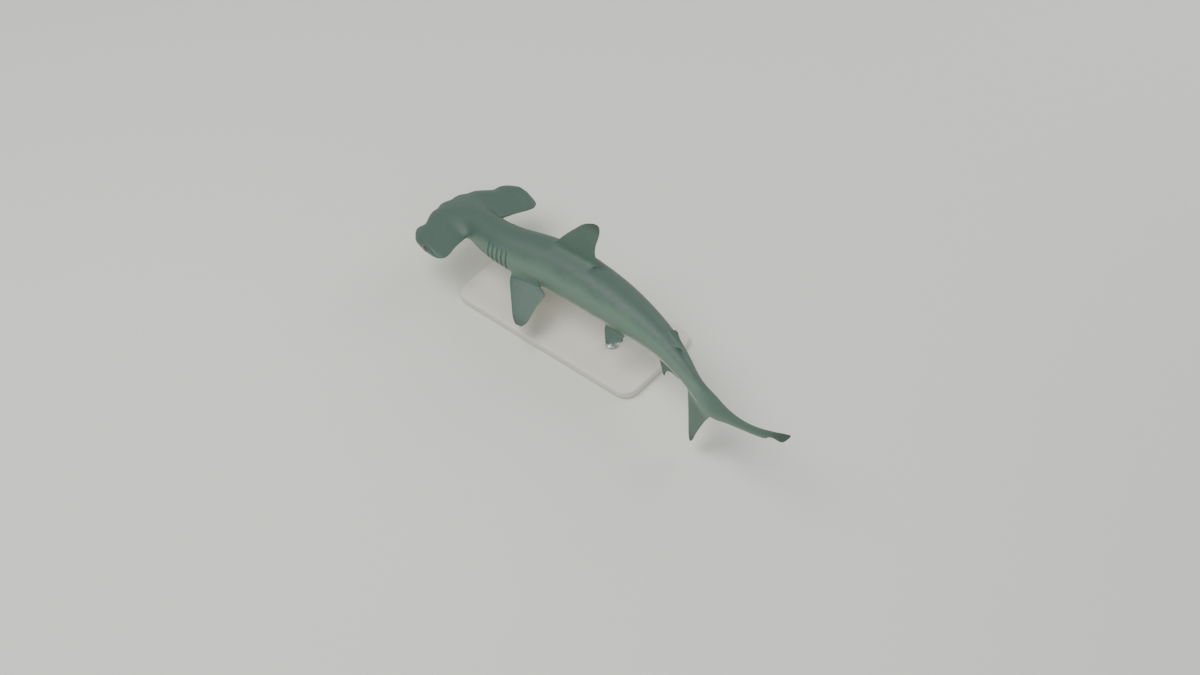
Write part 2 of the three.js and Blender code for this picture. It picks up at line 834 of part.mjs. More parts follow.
// A rod with the collar at its foot, long enough to be cut to the belly over it.
function rodSolid(station) {
  const foot = BASE.thick + GAP;
  const belly = bend(station, 0, through(BODY, station, 3));
  const height = belly.z + 2 * ROD.radius - foot;
  const rod = new THREE.CylinderGeometry(ROD.radius, ROD.radius, height, ROD.sides);
  rod.rotateX(Math.PI / 2);
  rod.translate(belly.x, belly.y, foot + height / 2);
  const collar = new THREE.CylinderGeometry(
    COLLAR.top,
    COLLAR.radius,
    COLLAR.height,
    COLLAR.sides,
  );
  collar.rotateX(Math.PI / 2);
  collar.translate(belly.x, belly.y, foot + COLLAR.height / 2);
  return solidOfGeometry(rod).add(solidOfGeometry(collar));
}

// Materials, by the part of the animal or the stand.
const finish = (color, roughness, metalness = 0) =>
  new THREE.MeshStandardMaterial({ color, roughness, metalness });
const MATERIALS = {
  skin: finish(0x66736a, 0.55),
  fin: finish(0x59655d, 0.55),
  jaw: finish(0xc9cbbd, 0.55),
  eye: finish(0x15160f, 0.15),
  base: finish(0xd8d5cc, 0.5),
  rod: finish(0xb9bcc0, 0.3, 1),
};

// Assembly.
const shark = new THREE.Group();
shark.name = "hammerhead_shark";

function addNode(name, solid, material) {
  const mesh = largest(solid).getMesh();
  const positions = new Float32Array(mesh.numVert * 3);
  for (let n = 0; n < mesh.numVert; n += 1) {
    const from = n * mesh.numProp;
    positions.set(mesh.vertProperties.subarray(from, from + 3), n * 3);
  }
  const geometry = new THREE.BufferGeometry()
    .setAttribute("position", new THREE.BufferAttribute(positions, 3))
    .setIndex(new THREE.BufferAttribute(mesh.triVerts, 1));
  geometry.computeVertexNormals();
  const node = new THREE.Mesh(geometry, material);
  node.name = name;
  shark.add(node);
}

const SIDE_NAMES = [
  [1, "right"],
  [-1, "left"],
];

function addHead() {
  let net = headNet();
  for (let n = 0; n < HEAD_LEVELS; n += 1) net = net.smoothed();
  const surface = new Surface(net);
  const upToNeck = (from, to) => block([-FAR / 2, from, -FAR / 2], [NECK_CUT, to, FAR / 2]);
  const whole = net.solid();
  const middle = whole
    .intersect(upToNeck(-WING_CUT, WING_CUT))
    .add(lip(surface, -MOUTH.lip))
    .subtract(mouthPrism(0, 0, JAW_ROOF));
  addNode("head", middle, MATERIALS.skin);
  const jaw = whole.add(lip(surface, MOUTH.opening + MOUTH.lip));
  addNode(
    "lower_jaw",
    jaw.intersect(mouthPrism(MOUTH.opening, GAP, JAW_ROOF - GAP)),
    MATERIALS.jaw,
  );
  for (const [side, word] of SIDE_NAMES) {
    const outer = [side * (WING_CUT + GAP), side * 2 * FAR].sort((a, b) => a - b);
    const tip = surface.tip(EYE.station, EYE.level, side).y;
    const wing = whole
      .intersect(upToNeck(...outer))
      .add(eyelids(tip, side))
      .subtract(eyeball(tip, side, GAP))
      .subtract(nostril(surface, side));
    addNode(`hammer_${word}`, wing, MATERIALS.skin);
    addNode(`eye_${word}`, eyeball(tip, side, 0), MATERIALS.eye);
  }
}

function addBody() {
  addNode("neck", neckSolid(), MATERIALS.skin);
  for (const [name, from, to] of BODY_PARTS) {
    addNode(name, bodyLength(from + GAP, to, BODY_STEP), MATERIALS.skin);
  }
  const tail = bodyLength(TAIL_START + GAP, LAST_STATION, BODY_STEP, TAIL_SIDES);
  addNode("caudal_fin_upper", tail, MATERIALS.fin);
}

function addFins(body) {
  for (const [name, fin] of Object.entries(FINS)) {
    addNode(name, medianFin(fin, FIN_STEPS).subtract(body), MATERIALS.fin);
  }
  for (const [name, fin] of Object.entries(PAIRED)) {
    for (const [side, word] of SIDE_NAMES) {
      addNode(`${name}_${word}`, sideFin(fin, FIN_STEPS, side).subtract(body), MATERIALS.fin);
    }
  }
}

function addStand(body) {
  addNode("stand_base", baseSolid(), MATERIALS.base);
  ["front", "rear"].forEach((word, n) => {
    addNode(`stand_rod_${word}`, rodSolid(ROD.stations[n]).subtract(body), MATERIALS.rod);
  });
}

const bodyAndGap = bodyLength(BODY[0][0], LAST_STATION, BODY_STEP, SIDES, GAP);
addHead();
addBody();
addFins(bodyAndGap);
addStand(bodyAndGap);

export default shark;
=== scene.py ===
"""A young scalloped hammerhead shark, 0.92 m long, as a still museum model on a plain stand.

The skin is one net of quads, grown in edit mode on the straight body, in millimetres: x runs from
the head to the tail, y to the shark's right and z up. It is smoothed, the mouth, nostrils, gills and
eye sockets are cut, and all of it is then bent along the spine into the row frame, in metres.
"""

import logging
import math
from dataclasses import dataclass, field
from enum import Enum
from typing import Callable, Iterable, Iterator, Sequence, Union

import bmesh
import bpy
import numpy as np
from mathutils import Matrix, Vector
from mathutils.bvhtree import BVHTree


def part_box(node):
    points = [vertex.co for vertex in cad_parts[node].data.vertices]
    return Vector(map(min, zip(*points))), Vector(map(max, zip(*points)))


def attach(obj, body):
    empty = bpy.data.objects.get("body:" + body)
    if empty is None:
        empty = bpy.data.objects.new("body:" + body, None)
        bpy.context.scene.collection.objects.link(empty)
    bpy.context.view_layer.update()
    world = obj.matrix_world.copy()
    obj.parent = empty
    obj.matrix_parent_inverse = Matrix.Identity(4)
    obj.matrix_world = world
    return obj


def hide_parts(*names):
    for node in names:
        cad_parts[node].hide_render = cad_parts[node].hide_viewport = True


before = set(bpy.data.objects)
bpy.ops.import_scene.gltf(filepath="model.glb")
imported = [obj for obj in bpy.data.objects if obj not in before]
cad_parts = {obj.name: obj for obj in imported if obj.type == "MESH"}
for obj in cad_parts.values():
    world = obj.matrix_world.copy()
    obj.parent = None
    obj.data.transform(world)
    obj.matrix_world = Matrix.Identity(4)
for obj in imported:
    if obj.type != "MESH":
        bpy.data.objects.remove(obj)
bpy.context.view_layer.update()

logging.basicConfig(level=logging.INFO, format="%(message)s")
log = logging.getLogger("hammerhead")

MM = 0.001  # metres
LENGTH = 900  # the last station of the straight body
QUARTER = 6  # columns of the net in a quarter of the way round the body
SIDES = 4 * QUARTER
ACROSS_EDGE = 0.5  # the middle of a thin block's thickness, as a share
Place = tuple[float, float, float]


def smooth_step(a: float, b: float, x: float) -> float:
    """Return 0 before a, 1 past b and a smooth rise between them."""
    t = min(1.0, max(0.0, (x - a) / (b - a)))
    return t * t * (3 - 2 * t)


def smooth_steps(a: float, b: float, x: np.ndarray) -> np.ndarray:
    """Return smooth_step for each number of an array."""
    t = np.clip((x - a) / (b - a), 0, 1)
    return t * t * (3 - 2 * t)


def mix(a: float, b: float, t: float) -> float:
    """Return the value a share t of the way from a to b."""
    return a + (b - a) * t


def deselect_all() -> None:
    """Deselect every object, in object mode."""
    bpy.ops.object.select_all(action="DESELECT")


def select_only(piece: bpy.types.Object) -> None:
    """Select one object alone and make it active."""
    deselect_all()
    piece.select_set(True)
    bpy.context.view_layer.objects.active = piece


def choose(edges: bool) -> None:
    """Select edges or else faces from here on, with nothing selected yet, in edit mode."""
    bpy.context.tool_settings.mesh_select_mode = (False, edges, not edges)
    bpy.ops.mesh.select_all(action="DESELECT")


def turn_outwards() -> None:
    """Turn every face of the mesh outwards and leave edit mode."""
    bpy.ops.mesh.select_all(action="SELECT")
    bpy.ops.mesh.normals_make_consistent(inside=False)
    bpy.ops.object.mode_set(mode="OBJECT")


def coordinates(piece: bpy.types.Object) -> np.ndarray:
    """Return a mesh's points as an array of three columns."""
    flat = np.zeros(len(piece.data.vertices) * 3)
    piece.data.vertices.foreach_get("co", flat)
    return flat.reshape(-1, 3)


def set_coordinates(piece: bpy.types.Object, points: np.ndarray) -> None:
    """Write a mesh's points from an array of three columns."""
    piece.data.vertices.foreach_set("co", points.astype(np.float32).ravel())
    piece.data.update()


def set_attribute(piece: bpy.types.Object, name: str, values: np.ndarray) -> None:
    """Store one number for each point of a mesh under a name that a material reads."""
    layer = piece.data.attributes.get(name) or piece.data.attributes.new(name, "FLOAT", "POINT")
    layer.data.foreach_set("value", values.astype(np.float32))


class Side(Enum):
    """The shark's two sides, with the sign of y on each."""

    RIGHT = 1
    LEFT = -1


@dataclass(frozen=True)
class Table:
    """Rows of given sizes, the first column in rising order, joined by a smooth curve."""

    rows: Sequence[Sequence[float]]

    def slope(self, index: int, column: int) -> float:
        """Return a column's slope at a row, from the rows beside it."""
        a = self.rows[max(0, index - 1)]
        b = self.rows[min(len(self.rows) - 1, index + 1)]
        return (b[column] - a[column]) / (b[0] - a[0])

    def at(self, x: float, column: int) -> float:
        """Read the curve through the rows.

        Args:
            x: the place along the first column.
            column: which size is wanted.

        Returns:
            The size there. Before the first row and past the last it stays the same.
        """
        rows = self.rows
        if x <= rows[0][0]:
            return rows[0][column]
        if x >= rows[-1][0]:
            return rows[-1][column]
        i = next(n for n, row in enumerate(rows) if row[0] > x) - 1
        span = rows[i + 1][0] - rows[i][0]
        t = (x - rows[i][0]) / span
        return (
            rows[i][column] * (1 + 2 * t) * (1 - t) ** 2
            + rows[i + 1][column] * t * t * (3 - 2 * t)
            + span * (self.slope(i, column) * t * (1 - t) ** 2)
            + span * (self.slope(i + 1, column) * t * t * (t - 1))
        )


class Spine:
    """The bent spine of the pose, and the way from the straight body to the bent one."""

    # Station, heading, rise and roll in degrees. Heading turns the tailward direction towards the
    # shark's right, rise lifts it, and roll leans the back to the right.
    POSE = Table([
        (0, -13.5, 6, 1),
        (110, -10, 4, 1),
        (200, 7, 4.5, 2),
        (300, -3, 4.5, 3),
        (400, -6.5, 2, 8),
        (500, -12, -0.5, 12),
        (600, -24.5, -1.5, 15),
        (700, -27.5, 0, 15),
        (800, -14.5, 4, 17),
        (900, 15, 4, 17),
    ])
    ANCHOR_STATION = 300
    ANCHOR = np.array([0.0, 0.0, 114.0])

    def __init__(self) -> None:
        """Step the spine out at each millimetre."""
        point = np.zeros(3)
        points, rights, ups = [], [], []
        for x in range(LENGTH + 2):
            heading, rise, roll = (math.radians(self.POSE.at(x, c)) for c in (1, 2, 3))
            tail = np.array([
                math.cos(rise) * math.cos(heading),
                math.cos(rise) * math.sin(heading),
                math.sin(rise),
            ])
            right = np.array([-math.sin(heading), math.cos(heading), 0.0])
            up = np.cross(tail, right)
            points.append(point.copy())
            rights.append(right * math.cos(roll) - up * math.sin(roll))
            ups.append(up * math.cos(roll) + right * math.sin(roll))
            point = point + tail
        self.points = np.array(points) - points[self.ANCHOR_STATION] + self.ANCHOR
        self.rights = np.array(rights)
        self.ups = np.array(ups)

    def bend(self, straight: np.ndarray) -> np.ndarray:
        """Carry points of the straight body to their places on the bent one.

        Args:
            straight: places in millimetres, one row each: station, right and up.

        Returns:
            The same points in the row frame, in metres.
        """
        station = straight[:, 0]
        i = np.clip(np.floor(station), 0, LENGTH).astype(int)
        t = (station - i)[:, None]
        turn = np.clip(t, 0, 1)
        middle = self.points[i] * (1 - t) + self.points[i + 1] * t
        right = self.rights[i] * (1 - turn) + self.rights[i + 1] * turn
        up = self.ups[i] * (1 - turn) + self.ups[i + 1] * turn
        return (middle + right * straight[:, 1:2] + up * straight[:, 2:3]) * MM

    def bend_piece(self, piece: bpy.types.Object) -> None:
        """Bend a mesh that was made on the straight body."""
        set_coordinates(piece, self.bend(coordinates(piece)))


class BodyForm:
    """The round body from the back of the head to the tip of the tail."""

    # Station, half width, height of the back, depth of the belly.
    ROWS = Table([
        (60, 34, 26, -23),
        (85, 34.5, 30, -28),
        (104, 35, 32.5, -31),
        (125, 36.5, 34.5, -33.5),
        (150, 38.5, 37.5, -36),
        (180, 41, 41, -39),
        (210, 43.5, 44.5, -42),
        (255, 45.5, 48, -44.5),
        (300, 45.5, 49, -45),
        (345, 44.5, 47, -44),
        (390, 42.5, 44, -42.5),
        (430, 39.5, 40, -40),
        (470, 34.5, 35.5, -35),
        (510, 29, 30.5, -29.5),
        (550, 23.5, 25.5, -24.5),
        (590, 18, 21, -20),
        (622, 13.5, 18.5, -17),
        (640, 12, 19.5, -16.5),
        (665, 9.5, 25, -14.5),
        (700, 7, 36, -11.5),
        (725, 6, 40, 0.5),
        (750, 5, 44, 17),
        (800, 3.8, 54.5, 37.5),
        (840, 3, 65, 48),
        (851, 2.8, 68, 51.5),
        (857, 2.6, 69.5, 57),
        (868, 2.4, 72, 59),
        (884, 1.9, 75.5, 57),
        (892, 1.4, 76.5, 64),
        (900, 0.5, 77, 74),
    ])

    def section(self, x: float) -> tuple[float, float, float]:
        """Return the half width, the height of the back and the depth of the belly at x."""
        return tuple(self.ROWS.at(x, column) for column in (1, 2, 3))

    def surface(self, x: float, turn: float, grow: float = 1.0) -> Place:
        """Find a place on the body's surface.

        Args:
            x: the station.
            turn: degrees from the back towards the shark's right.
            grow: how many times the true size the section is taken.

        Returns:
            The place on the straight body, in millimetres.
        """
        width, top, bottom = self.section(x)
        middle, half = (top + bottom) / 2, (top - bottom) / 2
        angle = math.radians(turn)
        return (
            x,
            width * grow * math.sin(angle),
            middle + half * grow * math.cos(angle),
        )


BODY = BodyForm()
SPINE = Spine()


class Net:
    """A net of quads grown in edit mode, which subdivision turns into a smooth skin."""

    def __init__(self, name: str, places: Sequence[Place]) -> None:
        """Start from a circle whose corners are set at the first ring's places.

        Args:
            name: the object's name.
            places: the corners of the first ring, in order.
        """
        deselect_all()
        bpy.ops.mesh.primitive_circle_add(vertices=len(places), radius=1)
        self.object = bpy.context.object
        self.object.name = name
        for layer in ("fin", "tip"):
            self.object.data.attributes.new(layer, "FLOAT", "POINT")
        bpy.ops.object.mode_set(mode="EDIT")
        self.bm = bmesh.from_edit_mesh(self.object.data)
        self.fin = self.bm.verts.layers.float["fin"]
        self.tip = self.bm.verts.layers.float["tip"]
        self.first = list(self.bm.verts)
        self.put(self.first, places)

    @staticmethod
    def put(corners: Iterable[bmesh.types.BMVert], places: Iterable[Place]) -> None:
        """Set each corner at its place."""
        for corner, place in zip(corners, places):
            corner.co = place

    def next_ring(self, ring: list, places: Sequence[Place]) -> list:
        """Extrude an open ring of edges.

        Args:
            ring: the corners of the ring, in order.
            places: where the new ring's corners go.

        Returns:
            The new ring's corners, in the same order.
        """
        choose(edges=True)
        for n, corner in enumerate(ring):
            edge = self.bm.edges.get((corner, ring[(n + 1) % len(ring)]))
            edge.select_set(True)
        bpy.ops.mesh.extrude_edges_move()
        grown = []
        for corner in ring:
            others = [edge.other_vert(corner) for edge in corner.link_edges]
            grown.append(next(other for other in others if other.select))
        self.put(grown, places)
        return grown

    def next_patch(self, patch: list[list], place: Callable[[int, int], Place]) -> list[list]:
        """Extrude the faces between a grid of corners.

        Args:
            patch: rows of three corners each.
            place: gives the new place of the corner at a row and a column.

        Returns:
            The new grid of corners, in the same order.
        """
        corners = {corner for row in patch for corner in row}
        before = {self.key(c): (r, n) for r, row in enumerate(patch) for n, c in enumerate(row)}
        choose(edges=False)
        for face in {face for corner in corners for face in corner.link_faces}:
            if all(corner in corners for corner in face.verts):
                face.select_set(True)
        bpy.ops.mesh.extrude_region_move()
        grown: list[list] = [[None] * len(row) for row in patch]
        for corner in self.bm.verts:
            if corner.select:
                row, column = before[self.key(corner)]
                grown[row][column] = corner
        for r, row in enumerate(grown):
            for n, corner in enumerate(row):
                corner.co = place(r, n)
        return grown

    @staticmethod
    def key(corner: bmesh.types.BMVert) -> Place:
        """Return a corner's rounded place, to know it again after an extrusion."""
        return tuple(round(value, 4) for value in corner.co)

    def finish(self, levels: int) -> bpy.types.Object:
        """Leave edit mode and smooth the net.

        Args:
            levels: how many times the net is subdivided.

        Returns:
            The smooth mesh object.
        """
        turn_outwards()
        select_only(self.object)
        modifier = self.object.modifiers.new("smooth", "SUBSURF")
        modifier.levels = levels
        modifier.render_levels = levels
        bpy.ops.object.modifier_apply(modifier=modifier.name)
        bpy.ops.object.shade_smooth()
        return self.object


@dataclass(frozen=True)
class Fin:
    """A fin that grows out of the skin's net, from three columns of corners at its root.

    Attributes:
        columns: the net's columns at the root: one face, the fin's middle, the other face.
        stations: where the root starts and ends.
        rows: along the span: distance from the root, leading edge, trailing edge, thickness.
        spans: the distances at which the net has a section.
        droop: degrees that a fin of a pair hangs below level, or None on the midline.
        root: half the root's thickness.
    """

    columns: tuple[int, int, int]
    stations: tuple[float, float]
    rows: Table
    spans: tuple[float, ...]
    droop: Union[float, None] = None
    root: float = 6.0

    EDGE = 0.16  # of the greatest thickness, which the trailing edge keeps
    SWELL = 1.58  # of the profile, so that its thickest place is about 1
    TAPER = 1.1  # the profile's power towards the trailing edge
    FIRST_SHARE = 0.05  # of the chord, where the first corners on the faces lie
    LAST_SHARE = 0.93
    OVERHANG = 0.02  # of the chord, which the edges' corners lie past it, for the smoothing

    def profile(self, share: float) -> float:
        """Return the thickness at a share of the chord, against the greatest."""
        round_part = self.SWELL * math.sqrt(share) * (1 - share**self.TAPER)
        return self.EDGE * min(1.0, share / self.FIRST_SHARE) + (1 - self.EDGE) * round_part

    def chord_share(self, row: int, column: int, last: int) -> float:
        """Return how far across the fin a corner of its net lies."""
        if column == 1 and row == 0:
            return -self.OVERHANG
        if column == 1 and row == last:
            return 1 + self.OVERHANG
        return mix(self.FIRST_SHARE, self.LAST_SHARE, row / last)

    def place(self, span: float, row: int, column: int, last: int) -> Place:
        """Place a corner of one section.

        Args:
            span: the section's distance from the root.
            row: the corner's row along the chord.
            column: 0 or 2 for the two faces, 1 for the edges and the cap.
            last: the last row.

        Returns:
            The corner's place on the straight body, in millimetres.
        """
        lead, trail, thick = (self.rows.at(span, c) for c in (1, 2, 3))
        share = self.chord_share(row, column, last)
        x = mix(lead, trail, share)
        face = 0.0 if column == 1 else thick / 2 * self.profile(share)
        turn = self.columns[1] * 360 / SIDES
        if self.droop is None:
            sign = 1 if self.columns[column] in (1, SIDES // 2 - 1) else -1
            _, top, bottom = BODY.section(min(x, self.stations[1]))
            return (x, sign * face, top + span if turn == 0 else bottom - span)
        side = 1 if turn < 180 else -1
        _, root_y, root_z = BODY.surface(sum(self.stations) / 2, turn)
        out, down = math.cos(math.radians(self.droop)), math.sin(math.radians(self.droop))
        face = face if column == 0 else -face
        return (
            x,
            root_y + side * (span * out + face * down),
            root_z - span * down + face * out,
        )


def fin_of_pair(fin: Fin) -> Fin:
    """Return the same fin on the left side."""
    columns = tuple(SIDES - column for column in fin.columns)
    return Fin(columns, fin.stations, fin.rows, fin.spans, fin.droop, fin.root)


FIRST_DORSAL = Fin(
    (SIDES - 1, 0, 1),
    (250, 346),
    Table([
        (0, 250, 346, 13),
        (5, 256, 357, 9.5),
        (9, 260, 362, 7.5),
        (15, 266, 360, 6.8),
        (22, 272, 352, 6.4),
        (32, 280, 350, 5.8),
        (48, 294, 351, 5),
        (62, 307, 355, 4.2),
        (76, 319, 358, 3.4),
        (85, 328, 358.5, 2.8),
        (91, 338, 357.5, 2.2),
        (95, 347, 354, 1.5),
    ]),
    (3.5, 7.5, 12, 17, 23, 33, 47, 61, 74, 84, 90.5, 94, 95),
    root=6.5,
)
SECOND_DORSAL = Fin(
    (SIDES - 1, 0, 1),
    (528, 562),
    Table([
        (0, 528, 562, 6),
        (3, 532, 592, 3.4),
        (6, 535, 596, 2.6),
        (9, 538, 580, 2.4),
        (14, 543, 565, 2),
        (18, 547, 558, 1.5),
        (20, 550, 556, 1.1),
    ]),
    (1.8, 4, 6.5, 10, 14, 18, 20),
    root=3.2,
)
ANAL = Fin(
    (SIDES // 2 - 1, SIDES // 2, SIDES // 2 + 1),
    (528, 562),
    Table([
        (0, 522, 562, 6),
        (3, 525, 592, 3.4),
        (6, 528, 596, 2.6),
        (10, 531, 573, 2.4),
        (18, 538, 557, 2.2),
        (26, 545, 556, 1.8),
        (31, 550, 556, 1.3),
    ]),
    (1.8, 4, 6.5, 11, 18, 25, 29.5, 31),
    root=3.2,
)
LOWER_LOBE = Fin(
    (SIDES // 2 - 1, SIDES // 2, SIDES // 2 + 1),
    (618, 706),
    Table([
        (-6, 618, 706, 12),
        (4, 623, 705, 8),
        (12, 629, 700, 5.4),
        (24, 637.5, 696, 4.2),
        (40, 648.5, 691, 3.6),
        (56, 658, 687, 3),
        (70, 667, 685.5, 2.4),
        (77, 673, 682.5, 1.6),
        (79.5, 676, 680, 1.2),
    ]),
    (4, 10, 18, 30, 44, 57, 67, 74, 78, 79.5),
    root=4.5,
)
PECTORAL = Fin(
    (7, 8, 9),
    (188, 250),
    Table([
        (0, 188, 250, 14),
        (5, 188, 257, 11),
        (9, 189, 269, 9.4),
        (14, 191, 276, 8.2),
        (22, 195.5, 275, 7.2),
        (34, 203, 273, 6.2),
        (48, 212.5, 273.5, 5.3),
        (60, 221, 276, 4.4),
        (70, 229, 276.5, 3.5),
        (78, 238.5, 273, 2.6),
        (83, 248, 267, 1.7),
    ]),
    (4, 7.5, 11, 15, 22, 33, 46, 59, 69, 77, 81.5, 83),
    droop=28,
    root=7.0,
)
PELVIC = Fin(
    (8, 9, 10),
    (412, 456),
    Table([
        (0, 412, 456, 8),
        (5, 414, 464, 5.6),
        (9, 417, 467, 4.4),
        (15, 424, 460, 3.6),
        (21, 431.5, 454, 3),
        (26, 438.5, 450, 2.2),
        (28.5, 442, 448, 1.5),
    ]),
    (2.5, 5.5, 9, 14, 20, 25, 28, 28.5),
    droop=22,
    root=4.0,
)
RIGHT_FINS = (PECTORAL, PELVIC)
FINS = (FIRST_DORSAL, SECOND_DORSAL, ANAL, LOWER_LOBE, *RIGHT_FINS, *map(fin_of_pair, RIGHT_FINS))


@dataclass
class Hammer:
    """The head with its two wings."""

    # Half of the hammer in plan: distance from the midline, front edge, rear edge, height of the
    # upper face, depth of the lower one.
    plan: Table = field(default_factory=lambda: Table([
        (0, -14.5, 87, 15, -13),
        (13, -20, 87, 15, -13),
        (25, -17.5, 87, 14.5, -12.5),
        (36, -10, 87, 13.5, -12),
        (44, -9.5, 88.5, 12.5, -11),
        (54, -4, 91, 11.8, -10.3),
        (64, 3.5, 93, 11, -9.5),
        (76, 12, 97, 10.5, -9),
        (90, 10.5, 103, 10, -8.5),
        (103, 20, 104.5, 12.5, -11.5),
        (111, 33, 98, 12.5, -11.5),
    ]))
    # Distances from the midline where a wing has a section.
    steps: tuple[float, ...] = (36, 44, 51, 58, 65, 71, 77, 84, 91, 98, 104, 109, 112)
    tip_bulge: float = 4.5
    tip_level: float = 0.5
    # How far the net lies past the edges, for the smoothing: middle of the head, and wings.
    front_past: float = 3
    wing_past: float = 2
    # Share of a wing's chord, and how full its section is there.
    fullness: Table = field(default_factory=lambda: Table([
        (0.03, 0.36),
        (0.2, 0.86),
        (0.45, 1),
        (0.72, 0.78),
        (0.96, 0.24),
    ]))
    chord: tuple[float, ...] = (0.03, 0.1, 0.2, 0.32, 0.45, 0.58, 0.72, 0.85, 0.96)
    # The middle of the head: station, height of the back, depth of the underside.
    ridge: Table = field(default_factory=lambda: Table([
        (-11, 5, -5),
        (10, 12.5, -11.5),
        (38, 21.5, -19),
        (66, 28.5, -25.5),
        (86, 32.5, -30),
    ]))
    rings: tuple[float, ...] = (-11, -1, 10, 24, 38, 52, 66, 77, 86)
    spread: float = 1.04
    # How far the last ring's outer corners stand back and out, where the wing's rear edge starts.
    armpit: tuple[float, float] = (4, 2)

    def section(self, across: float) -> list[Place]:
        """Return one section of a wing, as rows of station, height above and depth below."""
        front, rear, above, below = (self.plan.at(across, c) for c in (1, 2, 3, 4))
        full = {share: self.fullness.at(share, 1) for share in self.chord}
        return [(mix(front, rear, s), above * full[s], below * full[s]) for s in self.chord]

    def ring_places(self, index: int) -> list[Place]:
        """Return the corners of one ring of the middle of the head.

        Args:
            index: 0 for the frontmost ring.

        Returns:
            The corners, from the back round by the right side.
        """
        root = self.steps[0]
        x = self.rings[index]
        back, under = self.ridge.at(x, 1), self.ridge.at(x, 2)
        at_root, above, below = self.section(root)[index]
        shares = [min(1.0, column / QUARTER * self.spread) for column in range(QUARTER)]
        upper = [(mix(x, at_root, s), s * root, mix(back, above, s**2)) for s in shares]
        lower = [(mix(x, at_root, s), s * root, mix(under, below, s**2)) for s in shares]
        edge_x = self.plan.at(root, 1) if index == 0 else at_root
        back_by, out_by = self.armpit if index == len(self.rings) - 1 else (0, 0)
        edge = (edge_x + back_by, root + out_by, (above + below) / 2)
        half = [*upper, edge, *lower[::-1]]
        return half + [(x, -y, z) for x, y, z in half[-2:0:-1]]

    def close_front(self, net: Net, ring: list) -> None:
        """Fill the front of the head with a row of corners along its edge."""
        upper = [ring[n] for n in range(QUARTER - 1, -QUARTER, -1)]
        lower = [ring[n] for n in range(QUARTER + 1, SIDES - QUARTER)]
        middle = [ring[QUARTER]]
        for corner in upper[1:-1]:
            y = corner.co.y
            edge = self.plan.at(abs(y), 1) - self.front_past
            middle.append(net.bm.verts.new((edge, y, 0)))
        middle.append(ring[-QUARTER])
        for n in range(len(upper) - 1):
            net.bm.faces.new((upper[n], middle[n], middle[n + 1], upper[n + 1]))
            net.bm.faces.new((middle[n], lower[n], lower[n + 1], middle[n + 1]))

    def grow_wing(self, net: Net, rings: list[list], side: Side) -> None:
        """Extrude one wing from the side of the head.

        Args:
            net: the skin's net.
            rings: the head's rings, front to rear.
            side: which side the wing is on.
        """
        columns = [QUARTER - 1, QUARTER, QUARTER + 1]
        if side is Side.LEFT:
            columns = [SIDES - column for column in columns]
        patch = [[ring[column] for column in columns] for ring in rings]
        last = len(rings) - 1
        for y in self.steps[1:]:
            patch = net.next_patch(patch, self.placer(y, side.value, last))
        tip = self.steps[-1]
        rows = self.section(tip)
        for row in range(1, last):
            patch[row][1].co = (rows[row][0], side.value * (tip + self.tip_bulge), self.tip_level)

    def placer(self, y: float, sign: int, last: int) -> Callable[[int, int], Place]:
        """Return what places the corners of the wing's section at a distance from the midline."""
        rows = self.section(y)
        front, rear = self.plan.at(y, 1), self.plan.at(y, 2)

        def place(row: int, column: int) -> Place:
            """Place one corner of the section."""
            x, above, below = rows[row]
            if column == 1:
                edge = {0: front - self.wing_past, last: rear + self.wing_past}.get(row, x)
                return (edge, sign * y, 0)
            return (x, sign * y, above if column == 0 else below)

        return place


